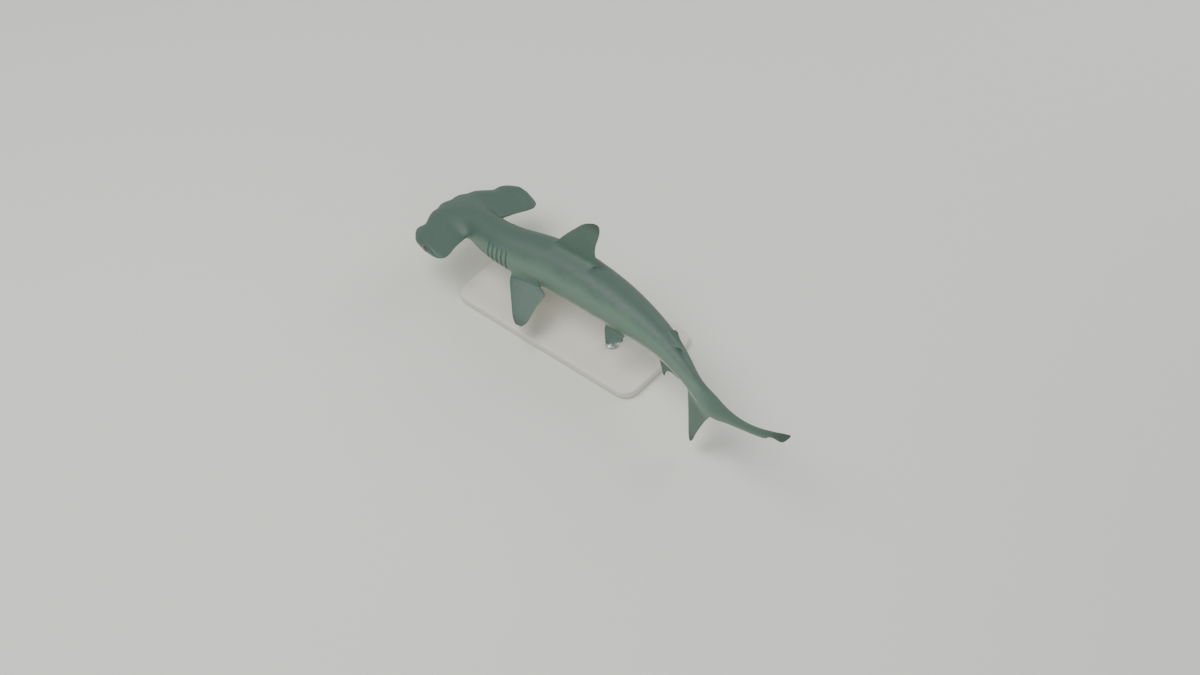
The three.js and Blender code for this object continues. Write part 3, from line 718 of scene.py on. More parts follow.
class SharkNet:
    """The whole skin's net: body, head with its wings, and all fins."""

    HEAD_JOIN = 104
    LEVELS = 2
    # Stations of the body's rings, closer together where gills, fins and the tail need them.
    NECK = (113, 121, 129, 134)
    GILLS = (140, 149.5, 159, 168.5, 178)
    GILL_RINGS = (-3.5, 0, 1.2, 3)  # from each gill slit
    BODY_STATIONS = (
        (188, 199, 211, 224, 237, 250, 263, 278, 295, 314, 331, 346, 360, 376, 392, 402)
        + (412, 421, 430, 439, 448, 456, 470, 489, 508, 528, 536, 545, 554, 562, 578, 594, 607)
        + (618, 632, 646, 661, 676, 691, 706, 718, 732, 750, 772, 796, 820, 836, 846, 851, 856)
        + (861, 869, 877, 885, 891, 896, 900)
    )
    FADE = 24  # over which the columns draw together before a fin and part behind it
    WIDEST_ROOT = 0.75  # of the body's half width
    FIN_SKIN = 10  # the distance from a fin's root where the skin has all of the fin's colour
    TAIL_SKIN = (640, 720)  # stations where the tail takes on the fins' colour
    TAIL_TIP = (760, 890)  # stations where the tail's tip darkens
    GROW = 3 / (2 + math.cos(2 * math.pi / SIDES))  # from the smooth skin to its net

    def stations(self) -> list[float]:
        """Return the stations of every ring behind the head."""
        gills = [slit + offset for slit in self.GILLS for offset in self.GILL_RINGS]
        return [*self.NECK, *gills, *self.BODY_STATIONS]

    def turn(self, x: float, column: int) -> float:
        """Return where a column stands round the body, drawn together at the roots of fins.

        Args:
            x: the station.
            column: the column, counted from the back round by the right side.

        Returns:
            Degrees from the back.
        """
        even = 360 / SIDES
        turn = column * even
        width = BODY.section(x)[0]
        for fin in FINS:
            start, end = fin.stations
            near = smooth_step(start - self.FADE, start, x) * (1 - smooth_step(end, end + self.FADE, x))
            away = (column - fin.columns[1] + SIDES // 2) % SIDES - SIDES // 2
            reach = abs(away)
            if near == 0 or reach == 0 or reach >= QUARTER:
                continue
            spread = math.degrees(math.asin(min(self.WIDEST_ROOT, fin.root / width)))
            if fin.droop is None:
                step = (90 - spread) / (QUARTER - 1)
                wanted = spread + (reach - 1) * step
            elif reach == 1:
                wanted = spread
            else:
                continue
            turn += math.copysign(near * (wanted - reach * even), away)
        return turn

    def ring_places(self, x: float) -> list[Place]:
        """Return the corners of the body's ring at a station."""
        return [BODY.surface(x, self.turn(x, column), self.GROW) for column in range(SIDES)]

    def grow_fin(self, net: Net, fin: Fin, rings: dict[float, list]) -> None:
        """Extrude one fin from the faces at its root.

        Args:
            net: the skin's net.
            fin: the fin.
            rings: the body's rings by station.
        """
        stations = [x for x in rings if fin.stations[0] <= x <= fin.stations[1]]
        patch = [[rings[x][column] for column in fin.columns] for x in sorted(stations)]
        last = len(patch) - 1
        reach = fin.spans[-1]
        for span in fin.spans:
            patch = net.next_patch(patch, lambda row, column: fin.place(span, row, column, last))
            for corner in (corner for row in patch for corner in row):
                corner[net.fin] = min(1.0, span / self.FIN_SKIN)
                corner[net.tip] = span / reach

    def build(self, name: str, hammer: Hammer) -> bpy.types.Object:
        """Grow the net and smooth it.

        Args:
            name: the skin's name.
            hammer: the head.

        Returns:
            The smooth skin on the straight body, in millimetres.
        """
        net = Net(name, self.ring_places(self.HEAD_JOIN))
        ring = net.first
        rings: dict[float, list] = {}
        for x in self.stations():
            ring = net.next_ring(ring, self.ring_places(x))
            rings[x] = ring
            for corner in ring:
                corner[net.fin] = smooth_step(*self.TAIL_SKIN, x)
                corner[net.tip] = smooth_step(*self.TAIL_TIP, x)
        bpy.ops.mesh.edge_face_add()
        head: list[list] = []
        ring = net.first
        for index in range(len(hammer.rings) - 1, -1, -1):
            ring = net.next_ring(ring, hammer.ring_places(index))
            head.insert(0, ring)
        hammer.close_front(net, head[0])
        for side in Side:
            hammer.grow_wing(net, head, side)
        for fin in FINS:
            self.grow_fin(net, fin, rings)
        return net.finish(self.LEVELS)


class Probe:
    """Finds the skin's surface before it is cut."""

    FAR = 200.0

    def __init__(self, piece: bpy.types.Object) -> None:
        """Take in the surface of a mesh as it is now."""
        data = piece.data
        faces = [tuple(face.vertices) for face in data.polygons]
        self.tree = BVHTree.FromPolygons([tuple(corner.co) for corner in data.vertices], faces)

    def strike(self, start: Place, direction: Place) -> Vector:
        """Return where a ray first meets the surface."""
        return self.tree.ray_cast(Vector(start), Vector(direction))[0]

    def underside(self, x: float, y: float) -> float:
        """Return the height of the underside at a place."""
        return self.strike((x, y, -self.FAR), (0, 0, 1)).z

    def depths(self, points: np.ndarray) -> np.ndarray:
        """Return how far each point lies from the surface, in millimetres."""
        return np.array([self.tree.find_nearest(Vector(point))[3] for point in points])


def refine(piece: bpy.types.Object, chosen: Callable[[Vector], bool]) -> None:
    """Divide a mesh's faces once more where fine relief follows.

    Args:
        piece: the mesh.
        chosen: tells for the middle of a face whether it is divided.
    """
    select_only(piece)
    bpy.ops.object.mode_set(mode="EDIT")
    choose(edges=False)
    for face in bmesh.from_edit_mesh(piece.data).faces:
        if chosen(face.calc_center_median()):
            face.select_set(True)
    bpy.ops.mesh.subdivide(number_cuts=1, smoothness=0)
    bpy.ops.object.mode_set(mode="OBJECT")


def raise_skin(piece: bpy.types.Object, relief: Callable[[np.ndarray], np.ndarray]) -> None:
    """Move a mesh's points along their normals.

    Args:
        piece: the mesh.
        relief: gives the rise of each point in millimetres.
    """
    points = coordinates(piece)
    set_coordinates(piece, points + normals(piece) * relief(points)[:, None])


def normals(piece: bpy.types.Object) -> np.ndarray:
    """Return the normals of a mesh's points as an array of three columns."""
    flat = np.zeros(len(piece.data.vertices) * 3)
    piece.data.vertex_normals.foreach_get("vector", flat)
    return flat.reshape(-1, 3)


def mapped_block(name: str, across: int, deep: int, place: Callable[..., Place]) -> bpy.types.Object:
    """Make a closed block and carry its grid of points to their places.

    Args:
        name: the block's name.
        across: how many faces it has along its first direction.
        deep: how many faces it has along its second one.
        place: gives a point's place from its shares, -1 to 1, -1 to 1 and 0 to 1.

    Returns:
        The block.
    """
    deselect_all()
    bpy.ops.mesh.primitive_grid_add(x_subdivisions=across, y_subdivisions=deep, size=2)
    block = bpy.context.object
    block.name = name
    bpy.ops.object.mode_set(mode="EDIT")
    bpy.ops.mesh.select_all(action="SELECT")
    bpy.ops.mesh.extrude_region_move(TRANSFORM_OT_translate={"value": (0, 0, 1)})
    bpy.ops.object.mode_set(mode="OBJECT")
    set_coordinates(block, np.array([place(*point) for point in coordinates(block)]))
    bpy.ops.object.mode_set(mode="EDIT")
    turn_outwards()
    bpy.ops.object.shade_smooth()
    return block


def ellipsoid(name: str, centre: Place, radii: Place, segments: int) -> bpy.types.Object:
    """Make an ellipsoid whose poles are on its second axis.

    Args:
        name: the object's name.
        centre: its middle.
        radii: half its size along each axis.
        segments: how many faces go round it.

    Returns:
        The ellipsoid, at the origin with its place in the mesh.
    """
    deselect_all()
    bpy.ops.mesh.primitive_uv_sphere_add(segments=segments, ring_count=segments // 2, radius=1)
    ball = bpy.context.object
    ball.name = name
    points = coordinates(ball)
    set_coordinates(ball, points[:, [0, 2, 1]] * [1, 1, -1] * radii + centre)
    bpy.ops.object.shade_smooth()
    return ball


def cut(piece: bpy.types.Object, cutter: bpy.types.Object) -> None:
    """Cut one mesh out of another and throw the cutter away.

    Args:
        piece: the mesh that stays.
        cutter: the mesh that is taken out of it.
    """
    select_only(piece)
    modifier = piece.modifiers.new("cut", "BOOLEAN")
    modifier.operation = "DIFFERENCE"
    modifier.solver = "EXACT"
    modifier.object = cutter
    bpy.ops.object.modifier_apply(modifier=modifier.name)
    bpy.data.objects.remove(cutter)


@dataclass
class Mouth:
    """The crescent of the mouth under the head, with its lips and the swell of the jaw."""

    half_width: float = 31
    front: float = 52
    corner: float = 80
    opening: float = 1.4
    outside: float = 4
    inside: float = 7
    corner_width: float = 0.15
    lean: float = 0.35
    under: float = -4
    margin: float = 8
    nearby: tuple[float, float] = (42, 102)
    # Each lip: how high, how far behind the line, and how wide.
    upper_lip: Place = (1.1, -2.4, 1.9)
    lower_lip: Place = (1.375, 3.2, 2.4)
    jaw: float = 1.8
    jaw_rise: tuple[float, float] = (0, 8)
    jaw_fall: tuple[float, float] = (14, 34)
    corner_fade: tuple[float, float] = (0.7, 1.1)
    faces: tuple[int, int] = (56, 4)

    def line(self, y: Union[float, np.ndarray]) -> Union[float, np.ndarray]:
        """Return the station of the mouth's line at a distance from the midline."""
        return self.front + (self.corner - self.front) * (y / self.half_width) ** 2

    def near(self, middle: Vector) -> bool:
        """Tell whether a face of the skin is close to the mouth."""
        start, end = self.nearby
        inside = abs(middle.y) < self.half_width + self.margin
        return inside and middle.z < self.under and start < middle.x < end

    def relief(self, points: np.ndarray) -> np.ndarray:
        """Return how far the lips and the jaw raise the skin at each point."""
        x, y, z = points.T
        slope = 2 * (self.corner - self.front) * y / self.half_width**2
        behind = (x - self.line(y)) / np.hypot(1, slope)
        rise = self.jaw * smooth_steps(*self.jaw_rise, behind)
        rise *= 1 - smooth_steps(*self.jaw_fall, behind)
        for high, back, wide in (self.upper_lip, self.lower_lip):
            rise += high * np.exp(-(((behind - back) / wide) ** 2))
        fade = 1 - smooth_steps(*self.corner_fade, abs(y) / self.half_width)
        return np.where(z < self.under, fade * rise, 0)

    def slit(self, probe: Probe) -> bpy.types.Object:
        """Make the thin curved block that opens the mouth.

        Args:
            probe: finds the head's underside.

        Returns:
            The block to cut out.
        """

        def place(u: float, v: float, w: float) -> Place:
            """Place a point by its shares across the mouth, into the head and fore and aft."""
            y = u * self.half_width
            x = self.line(y)
            depth = mix(-self.outside, self.inside, (v + 1) / 2)
            width = self.opening * (1 + self.corner_width - u**4)
            across = (w - ACROSS_EDGE) * width
            return (x + across + self.lean * depth, y, probe.underside(x, y) + depth)

        return mapped_block("mouth_slit", *self.faces, place)


@dataclass
class Nostril:
    """A nostril near the end of the hammer's front edge, with the groove that leads to it."""

    across: float = 84
    inner: float = 56
    level: float = -2.5
    radii: Place = (3.2, 4.6, 1.7)
    sink: float = 0.6
    groove_deep: float = 1.5
    groove_high: float = 1.1
    groove_fade: float = 0.25
    outside: float = 3
    # How far the finer skin reaches: inwards, outwards, up and back.
    nearby: tuple[float, float, float, float] = (6, 9, 3, 26)
    segments: int = 32
    groove_faces: tuple[int, int] = (24, 2)

    def near(self, middle: Vector) -> bool:
        """Tell whether a face of the skin is close to a nostril or its groove."""
        inwards, outwards, up, back = self.nearby
        inside = self.inner - inwards < abs(middle.y) < self.across + outwards
        return inside and middle.z < up and middle.x < back

    def edge(self, probe: Probe, y: float) -> float:
        """Return the station of the hammer's front edge at a distance from the midline."""
        return probe.strike((-Probe.FAR, y, self.level), (1, 0, 0)).x

    def pit(self, probe: Probe, side: Side) -> bpy.types.Object:
        """Make the ellipsoid that opens the nostril."""
        y = side.value * self.across
        centre = (self.edge(probe, y) + self.sink, y, self.level)
        return ellipsoid("nostril", centre, self.radii, self.segments)

    def groove(self, probe: Probe, side: Side) -> bpy.types.Object:
        """Make the thin block that cuts the groove along the front edge."""

        def place(u: float, v: float, w: float) -> Place:
            """Place a point by its shares along, into and up the edge."""
            along = (u + 1) / 2
            y = side.value * mix(self.inner, self.across, along)
            share = smooth_step(0, self.groove_fade, along)
            deep = mix(-self.outside, self.groove_deep * share, (v + 1) / 2)
            high = self.groove_high * (1 + share) / 2
            return (self.edge(probe, y) + deep, y, self.level + (w - ACROSS_EDGE) * high)

        return mapped_block("nasal_groove", *self.groove_faces, place)


@dataclass
class Eye:
    """An eye in the end of the hammer, with its lids."""

    station: float = 63
    level: float = 0.5
    radii: Place = (7.8, 6.6, 6.8)
    depth: float = 4.4
    room: float = 0.3
    lid: float = 1.0
    lid_radius: float = 7.3
    lid_width: float = 1.3
    lid_squeeze: float = 0.94
    innermost: float = 100
    nearby: float = 13
    socket_segments: int = 48
    ball_segments: int = 64

    def near(self, middle: Vector) -> bool:
        """Tell whether a face of the skin is close to an eye."""
        out = math.hypot(middle.x - self.station, middle.z - self.level)
        return abs(middle.y) > self.innermost and out < self.nearby

    def relief(self, points: np.ndarray) -> np.ndarray:
        """Return how far the lids raise the skin at each point."""
        x, y, z = points.T
        out = np.hypot((x - self.station) * self.lid_squeeze, z - self.level)
        lid = self.lid * np.exp(-(((out - self.lid_radius) / self.lid_width) ** 2))
        return np.where(abs(y) > self.innermost, lid, 0)

    def centre(self, probe: Probe, side: Side) -> Place:
        """Return the middle of the eye."""
        start = (self.station, side.value * Probe.FAR, self.level)
        tip = probe.strike(start, (0, -side.value, 0)).y
        return (self.station, tip - side.value * self.depth, self.level)

    def socket(self, probe: Probe, side: Side) -> bpy.types.Object:
        """Make the ellipsoid that opens the socket."""
        radii = tuple(radius + self.room for radius in self.radii)
        return ellipsoid("socket", self.centre(probe, side), radii, self.socket_segments)

    def ball(self, probe: Probe, side: Side, finish: "EyeFinish") -> bpy.types.Object:
        """Make the eye itself.

        Args:
            probe: finds the hammer's end.
            side: which side the eye is on.
            finish: what it is made to look like.

        Returns:
            The eye, bent into place.
        """
        word = side.name.lower()
        centre = self.centre(probe, side)
        eye = ellipsoid(f"eye_{word}_ball", centre, self.radii, self.ball_segments)
        points = coordinates(eye)
        set_attribute(eye, "along", points[:, 0] - centre[0])
        set_attribute(eye, "up", points[:, 2] - centre[2])
        SPINE.bend_piece(eye)
        eye.data.materials.append(finish.material())
        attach(eye, "root")
        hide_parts(f"eye_{word}")
        return eye


@dataclass
class Gills:
    """Five gill slits on each side, each under the free edge of a flap."""

    slits: tuple[float, ...] = SharkNet.GILLS
    rise: float = 1.1
    depth: float = 1.2
    # Shares of the way to the next slit where the skin comes back up, and where it swells.
    slope: tuple[float, float] = (0.02, 0.4)
    flap: tuple[float, float] = (0.3, 0.95)
    # Degrees from the back where the slits fade in and out, round a line at this height.
    upper: tuple[float, float] = (48, 62)
    lower: tuple[float, float] = (106, 120)
    level: float = 0.8

    def relief(self, points: np.ndarray) -> np.ndarray:
        """Return how far the flaps raise and the slits sink the skin at each point."""
        x, y, z = points.T
        pitch = self.slits[1] - self.slits[0]
        edges = np.array([self.slits[0] - pitch, *self.slits])
        n = np.clip(np.searchsorted(edges, x, side="right") - 1, 0, len(edges) - 1)
        along = (x - edges[n]) / pitch
        sink = np.where(n > 0, -self.depth * (1 - smooth_steps(*self.slope, along)), 0)
        swell = np.where(n < len(edges) - 1, self.rise * smooth_steps(*self.flap, along), 0)
        turn = np.degrees(np.arctan2(abs(y), z - self.level))
        window = smooth_steps(*self.upper, turn) * (1 - smooth_steps(*self.lower, turn))
        here = (x > edges[0]) & (x < edges[-1] + pitch)
        return np.where(here, window * (sink + swell), 0)


Value = Union["Signal", float, Sequence[float]]
Colour = tuple[float, float, float, float]


def srgb(red: int, green: int, blue: int) -> Colour:
    """Return a colour given in steps of 255 as the shader's linear numbers."""

    def linear(step: int) -> float:
        """Return one step of 255 as a linear number."""
        share = step / 255
        return share / 12.92 if share <= 0.04045 else ((share + 0.055) / 1.055) ** 2.4

    return (linear(red), linear(green), linear(blue), 1.0)


class Graph:
    """The nodes of one material, all made through one method."""

    def __init__(self, name: str) -> None:
        """Start a material with its surface shader alone."""
        self.material = bpy.data.materials.new(name)
        self.material.use_nodes = True
        self.nodes = self.material.node_tree.nodes
        self.links = self.material.node_tree.links
        self.shader = self.nodes["Principled BSDF"]

    def put(self, socket: bpy.types.NodeSocket, value: Value) -> None:
        """Link a signal to a socket, or set its number."""
        if isinstance(value, Signal):
            self.links.new(value.socket, socket)
        else:
            socket.default_value = value

    def node(self, kind: str, inputs: dict, **settings: Union[str, bool]) -> bpy.types.Node:
        """Make one node.

        Args:
            kind: the node's type.
            inputs: the value or signal for each of its sockets, by name or number.
            settings: its options.

        Returns:
            The node.
        """
        made = self.nodes.new(kind)
        for name, setting in settings.items():
            setattr(made, name, setting)
        for socket, value in inputs.items():
            self.put(made.inputs[socket], value)
        return made

    def math(self, operation: str, *values: Value) -> "Signal":
        """Return one step of reckoning."""
        node = self.node("ShaderNodeMath", dict(enumerate(values)), operation=operation)
        return Signal(self, node.outputs[0])

    def attribute(self, name: str) -> "Signal":
        """Return the number that the mesh keeps under a name."""
        node = self.node("ShaderNodeAttribute", {}, attribute_name=name)
        return Signal(self, node.outputs["Fac"])

    def vector(self, x: Value, y: Value, z: Value) -> "Signal":
        """Return a place made of three numbers."""
        node = self.node("ShaderNodeCombineXYZ", {0: x, 1: y, 2: z})
        return Signal(self, node.outputs[0])

    def noise(self, place: "Signal", scale: float, detail: float) -> "Signal":
        """Return soft noise from 0 to 1."""
        inputs = {"Vector": place, "Scale": scale, "Detail": detail}
        return Signal(self, self.node("ShaderNodeTexNoise", inputs).outputs[0])

    def cells(self, place: "Signal", scale: float) -> "Signal":
        """Return the distance to the nearest of many scattered points."""
        inputs = {"Vector": place, "Scale": scale}
        return Signal(self, self.node("ShaderNodeTexVoronoi", inputs).outputs[0])

    def step(self, value: "Signal", low: float, high: float) -> "Signal":
        """Return a smooth rise from 0 at low to 1 at high."""
        inputs = {"Value": value, "From Min": low, "From Max": high}
        node = self.node("ShaderNodeMapRange", inputs, interpolation_type="SMOOTHSTEP")
        return Signal(self, node.outputs[0])

    def blend(self, share: Value, first: Value, second: Value) -> "Signal":
        """Return the first colour at share 0 and the second at share 1."""
        inputs = {0: share, 6: first, 7: second}
        node = self.node("ShaderNodeMix", inputs, data_type="RGBA")
        return Signal(self, node.outputs[2])

    def bump(self, height: "Signal", distance: float, strength: float) -> "Signal":
        """Return normals that a fine relief tilts."""
        inputs = {"Height": height, "Distance": distance, "Strength": strength}
        return Signal(self, self.node("ShaderNodeBump", inputs).outputs[0])

    def finish(self, **surface: Value) -> bpy.types.Material:
        """Give the surface shader its values, by the names of its sockets, and return the material."""
        for name, value in surface.items():
            self.put(self.shader.inputs[name.replace("_", " ").title()], value)
        return self.material


class Signal:
    """One output of a graph, which sums and products can be made of."""

    def __init__(self, graph: Graph, socket: bpy.types.NodeSocket) -> None:
        """Keep the graph and the socket."""
        self.graph = graph
        self.socket = socket

    def __add__(self, other: Value) -> "Signal":
        """Return the sum."""
        return self.graph.math("ADD", self, other)

    def __sub__(self, other: Value) -> "Signal":
        """Return the difference."""
        return self.graph.math("SUBTRACT", self, other)

    def __rsub__(self, other: Value) -> "Signal":
        """Return the difference from a number."""
        return self.graph.math("SUBTRACT", other, self)

    def __mul__(self, other: Value) -> "Signal":
        """Return the product."""
        return self.graph.math("MULTIPLY", self, other)

    def __abs__(self) -> "Signal":
        """Return the size without its sign."""
        return self.graph.math("ABSOLUTE", self)

    def __pow__(self, other: Value) -> "Signal":
        """Return the power."""
        return self.graph.math("POWER", self, other)

    __radd__ = __add__
    __rmul__ = __mul__


@dataclass(frozen=True)
class SkinFinish:
    """Slate skin, dark on the back, paler on the flank and cream below."""

    back: Colour = srgb(62, 84, 74)
    flank: Colour = srgb(94, 117, 102)
    belly: Colour = srgb(208, 208, 190)
    fin: Colour = srgb(68, 91, 80)
    dusk: Colour = srgb(44, 54, 48)
    # Lining of the mouth, nostrils, nasal grooves and eye sockets: the flesh's own colour, made dark as
    # painted shade in these cuts.
    mouth: Colour = srgb(92, 66, 62)
    roughness: float = 0.55
    coat: float = 0.1
    coat_roughness: float = 0.35
    # Where one colour runs over into the next, along the lie of the skin from -1 under to 1 on top.
    back_edge: tuple[float, float] = (0.25, 0.8)
    belly_edge: tuple[float, float] = (-0.22, -0.78)
    fin_edge: tuple[float, float] = (-0.5, 0.1)
    tip_edge: tuple[float, float] = (0.72, 1.05)
    hammer_edge: tuple[float, float] = (120, 70)
    pored_edge: tuple[float, float] = (62, 20)
    speck_edge: tuple[float, float] = (0.1, 0.5)
    pore_edge: tuple[float, float] = (0.13, 0.07)
    # How strong each marking is.
    fin_share: float = 0.8
    tip_share: float = 0.75
    speck_share: float = 0.22
    pore_share: float = 0.35
    # How far a fin's skin counts as facing up, and how much the hammer and the noises darken it.
    fin_lift: float = 0.5
    hammer_tone: float = 0.5
    cloud_tone: float = 0.3
    fleck_tone: float = 0.1
    fleck_roughness: float = 0.18
    # Each noise: how many to the metre, and its detail.
    clouds: tuple[float, float] = (22, 4)
    flecks: tuple[float, float] = (160, 3)
    grain: tuple[float, float] = (1100, 2)
    pores: float = 210
    grain_depth: float = 0.0002
    grain_strength: float = 0.35

    def colour(self, graph: Graph, place: "Signal", cloud: "Signal", fleck: "Signal") -> "Signal":
        """Lay the colours over each other.

        Args:
            graph: the material's graph.
            place: the point on the straight body.
            cloud: wide noise round 0.
            fleck: fine noise round 0.

        Returns:
            The colour of the skin.
        """
        lie, fin, tip, cut_lining_and_shade = map(graph.attribute, ("lie", "fin", "tip", "cut_lining_and_shade"))
        station = graph.attribute("station")
        upright = lie + self.fin_lift * fin * (1 - abs(lie))
        tone = upright + self.cloud_tone * cloud + self.fleck_tone * fleck
        hammer = graph.step(station, *self.hammer_edge)
        dark = graph.step(tone + self.hammer_tone * hammer, *self.back_edge)
        colour = graph.blend(dark, self.flank, self.back)
        finned = fin * self.fin_share * graph.step(lie, *self.fin_edge)
        colour = graph.blend(finned, colour, self.fin)
        under = graph.step(tone, *self.belly_edge)
        colour = graph.blend(under, colour, self.belly)
        colour = graph.blend(graph.step(tip, *self.tip_edge) * self.tip_share, colour, self.dusk)
        speck = graph.step(cloud + fleck, *self.speck_edge) * (1 - under)
        colour = graph.blend(speck * self.speck_share, colour, self.dusk)
        pore = graph.step(graph.cells(place, self.pores), *self.pore_edge)
        pore = pore * graph.step(station, *self.pored_edge)
        colour = graph.blend(pore * self.pore_share, colour, self.dusk)
        # Painted shade inside the cuts, in the lining's dark flesh colour, by how deep they sink below
        # the skin.
        return graph.blend(cut_lining_and_shade, colour, self.mouth)

    def material(self) -> bpy.types.Material:
        """Return the material, which reads the numbers kept for each point of the skin."""
        graph = Graph("shark_skin")
        station, across, height = map(graph.attribute, ("station", "across", "height"))
        place = graph.vector(station * MM, across * MM, height * MM)
        cloud = graph.noise(place, *self.clouds) - 0.5
        fleck = graph.noise(place, *self.flecks) - 0.5
        relief = graph.noise(place, *self.grain) + 0.5 * fleck
        return graph.finish(
            base_color=self.colour(graph, place, cloud, fleck),
            roughness=self.roughness + self.fleck_roughness * fleck,
            coat_weight=self.coat,
            coat_roughness=self.coat_roughness,
            normal=graph.bump(relief, self.grain_depth, self.grain_strength),
        )


@dataclass(frozen=True)
class EyeFinish:
    """A dark glassy eye with a dull gold iris and an upright pupil."""

    white: Colour = srgb(40, 42, 38)
    iris: Colour = srgb(104, 98, 70)
    pupil: Colour = srgb(8, 8, 8)
    iris_radius: float = 4.6
    iris_blur: float = 1.4
    pupil_radii: tuple[float, float] = (1.5, 3.0)
    pupil_edge: tuple[float, float] = (1.15, 0.95)
    roughness: float = 0.12
    coat_roughness: float = 0.03

    def material(self) -> bpy.types.Material:
        """Return the material, which reads how far each point is from the eye's middle."""
        graph = Graph("shark_eye")
        along, up = map(graph.attribute, ("along", "up"))
        out = (along**2 + up**2) ** 0.5
        wide, high = self.pupil_radii
        pupil = ((along * (1 / wide)) ** 2 + (up * (1 / high)) ** 2) ** 0.5
        ring = graph.step(out, self.iris_radius - self.iris_blur, self.iris_radius)
        colour = graph.blend(ring, self.iris, self.white)
        colour = graph.blend(graph.step(pupil, *self.pupil_edge), colour, self.pupil)
        return graph.finish(
            base_color=colour,
            roughness=self.roughness,
            coat_weight=1.0,
            coat_roughness=self.coat_roughness,
        )


@dataclass(frozen=True)
class PlainFinish:
    """One even colour, as on painted wood or metal."""

    name: str
    colour: Colour
    roughness: float
    metal: float = 0.0

    def material(self) -> bpy.types.Material:
        """Return the material."""
        values = {"base_color": self.colour, "roughness": self.roughness, "metallic": self.metal}
        return Graph(self.name).finish(**values)


@dataclass
class Shark:
    """The whole animal: its skin in one piece, and two eyes."""

    hammer: Hammer = field(default_factory=Hammer)
    mouth: Mouth = field(default_factory=Mouth)
    nostril: Nostril = field(default_factory=Nostril)
    eye: Eye = field(default_factory=Eye)
    gills: Gills = field(default_factory=Gills)
    skin: SkinFinish = field(default_factory=SkinFinish)
    iris: EyeFinish = field(default_factory=EyeFinish)
    # Depths in millimetres below the uncut skin where the cuts' lining and its painted shade fade in.
    cut_lining_and_shade: tuple[float, float] = (0.15, 1.2)
    sharp: float = 42

    FLESH = (
        ("head", "lower_jaw", "hammer_right", "hammer_left", "neck", "torso_front")
        + ("torso_rear", "tail_stalk", "caudal_fin_upper", "caudal_fin_lower")
        + ("dorsal_fin_first", "dorsal_fin_second", "anal_fin")
        + ("pectoral_fin_right", "pectoral_fin_left", "pelvic_fin_right", "pelvic_fin_left")
    )

    def relief(self, points: np.ndarray) -> np.ndarray:
        """Return how far all fine forms raise the skin at each point."""
        return self.gills.relief(points) + self.mouth.relief(points) + self.eye.relief(points)

    def near_detail(self, middle: Vector) -> bool:
        """Tell whether a face of the skin is close to a fine form."""
        return any(form.near(middle) for form in (self.mouth, self.nostril, self.eye))

    def cutters(self, probe: Probe) -> Iterator[bpy.types.Object]:
        """Make each block that is cut out of the skin, one after the other.

        Args:
            probe: the surface before it is cut.

        Yields:
            The block, in its place on the straight body.
        """
        yield self.mouth.slit(probe)
        for side in Side:
            yield self.nostril.pit(probe, side)
            yield self.nostril.groove(probe, side)
            yield self.eye.socket(probe, side)

    def dress(self, skin: bpy.types.Object, probe: Probe) -> None:
        """Keep what the material reads for each point of the straight skin.

        Args:
            skin: the cut skin, before it is bent.
            probe: the surface before it was cut.
        """
        points = coordinates(skin)
        for column, name in enumerate(("station", "across", "height")):
            set_attribute(skin, name, points[:, column])
        set_attribute(skin, "lie", normals(skin)[:, 2])
        # The cuts' lining, partly flesh colour, partly painted shade, by depth below the skin before
        # the cuts.
        set_attribute(skin, "cut_lining_and_shade", smooth_steps(*self.cut_lining_and_shade, probe.depths(points)))

    def build(self) -> list[bpy.types.Object]:
        """Make the skin and the eyes and put them in their places.

        Returns:
            The skin, then the right eye and the left one.
        """
        skin = SharkNet().build("shark_skin", self.hammer)
        refine(skin, self.near_detail)
        raise_skin(skin, self.relief)
        probe = Probe(skin)
        for cutter in self.cutters(probe):
            cut(skin, cutter)
        self.dress(skin, probe)
        SPINE.bend_piece(skin)
        select_only(skin)
        bpy.ops.object.shade_smooth_by_angle(angle=math.radians(self.sharp))
        skin.data.materials.clear()
        skin.data.materials.append(self.skin.material())
        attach(skin, "root")
        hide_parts(*self.FLESH)
        return [skin, *(self.eye.ball(probe, side, self.iris) for side in Side)]


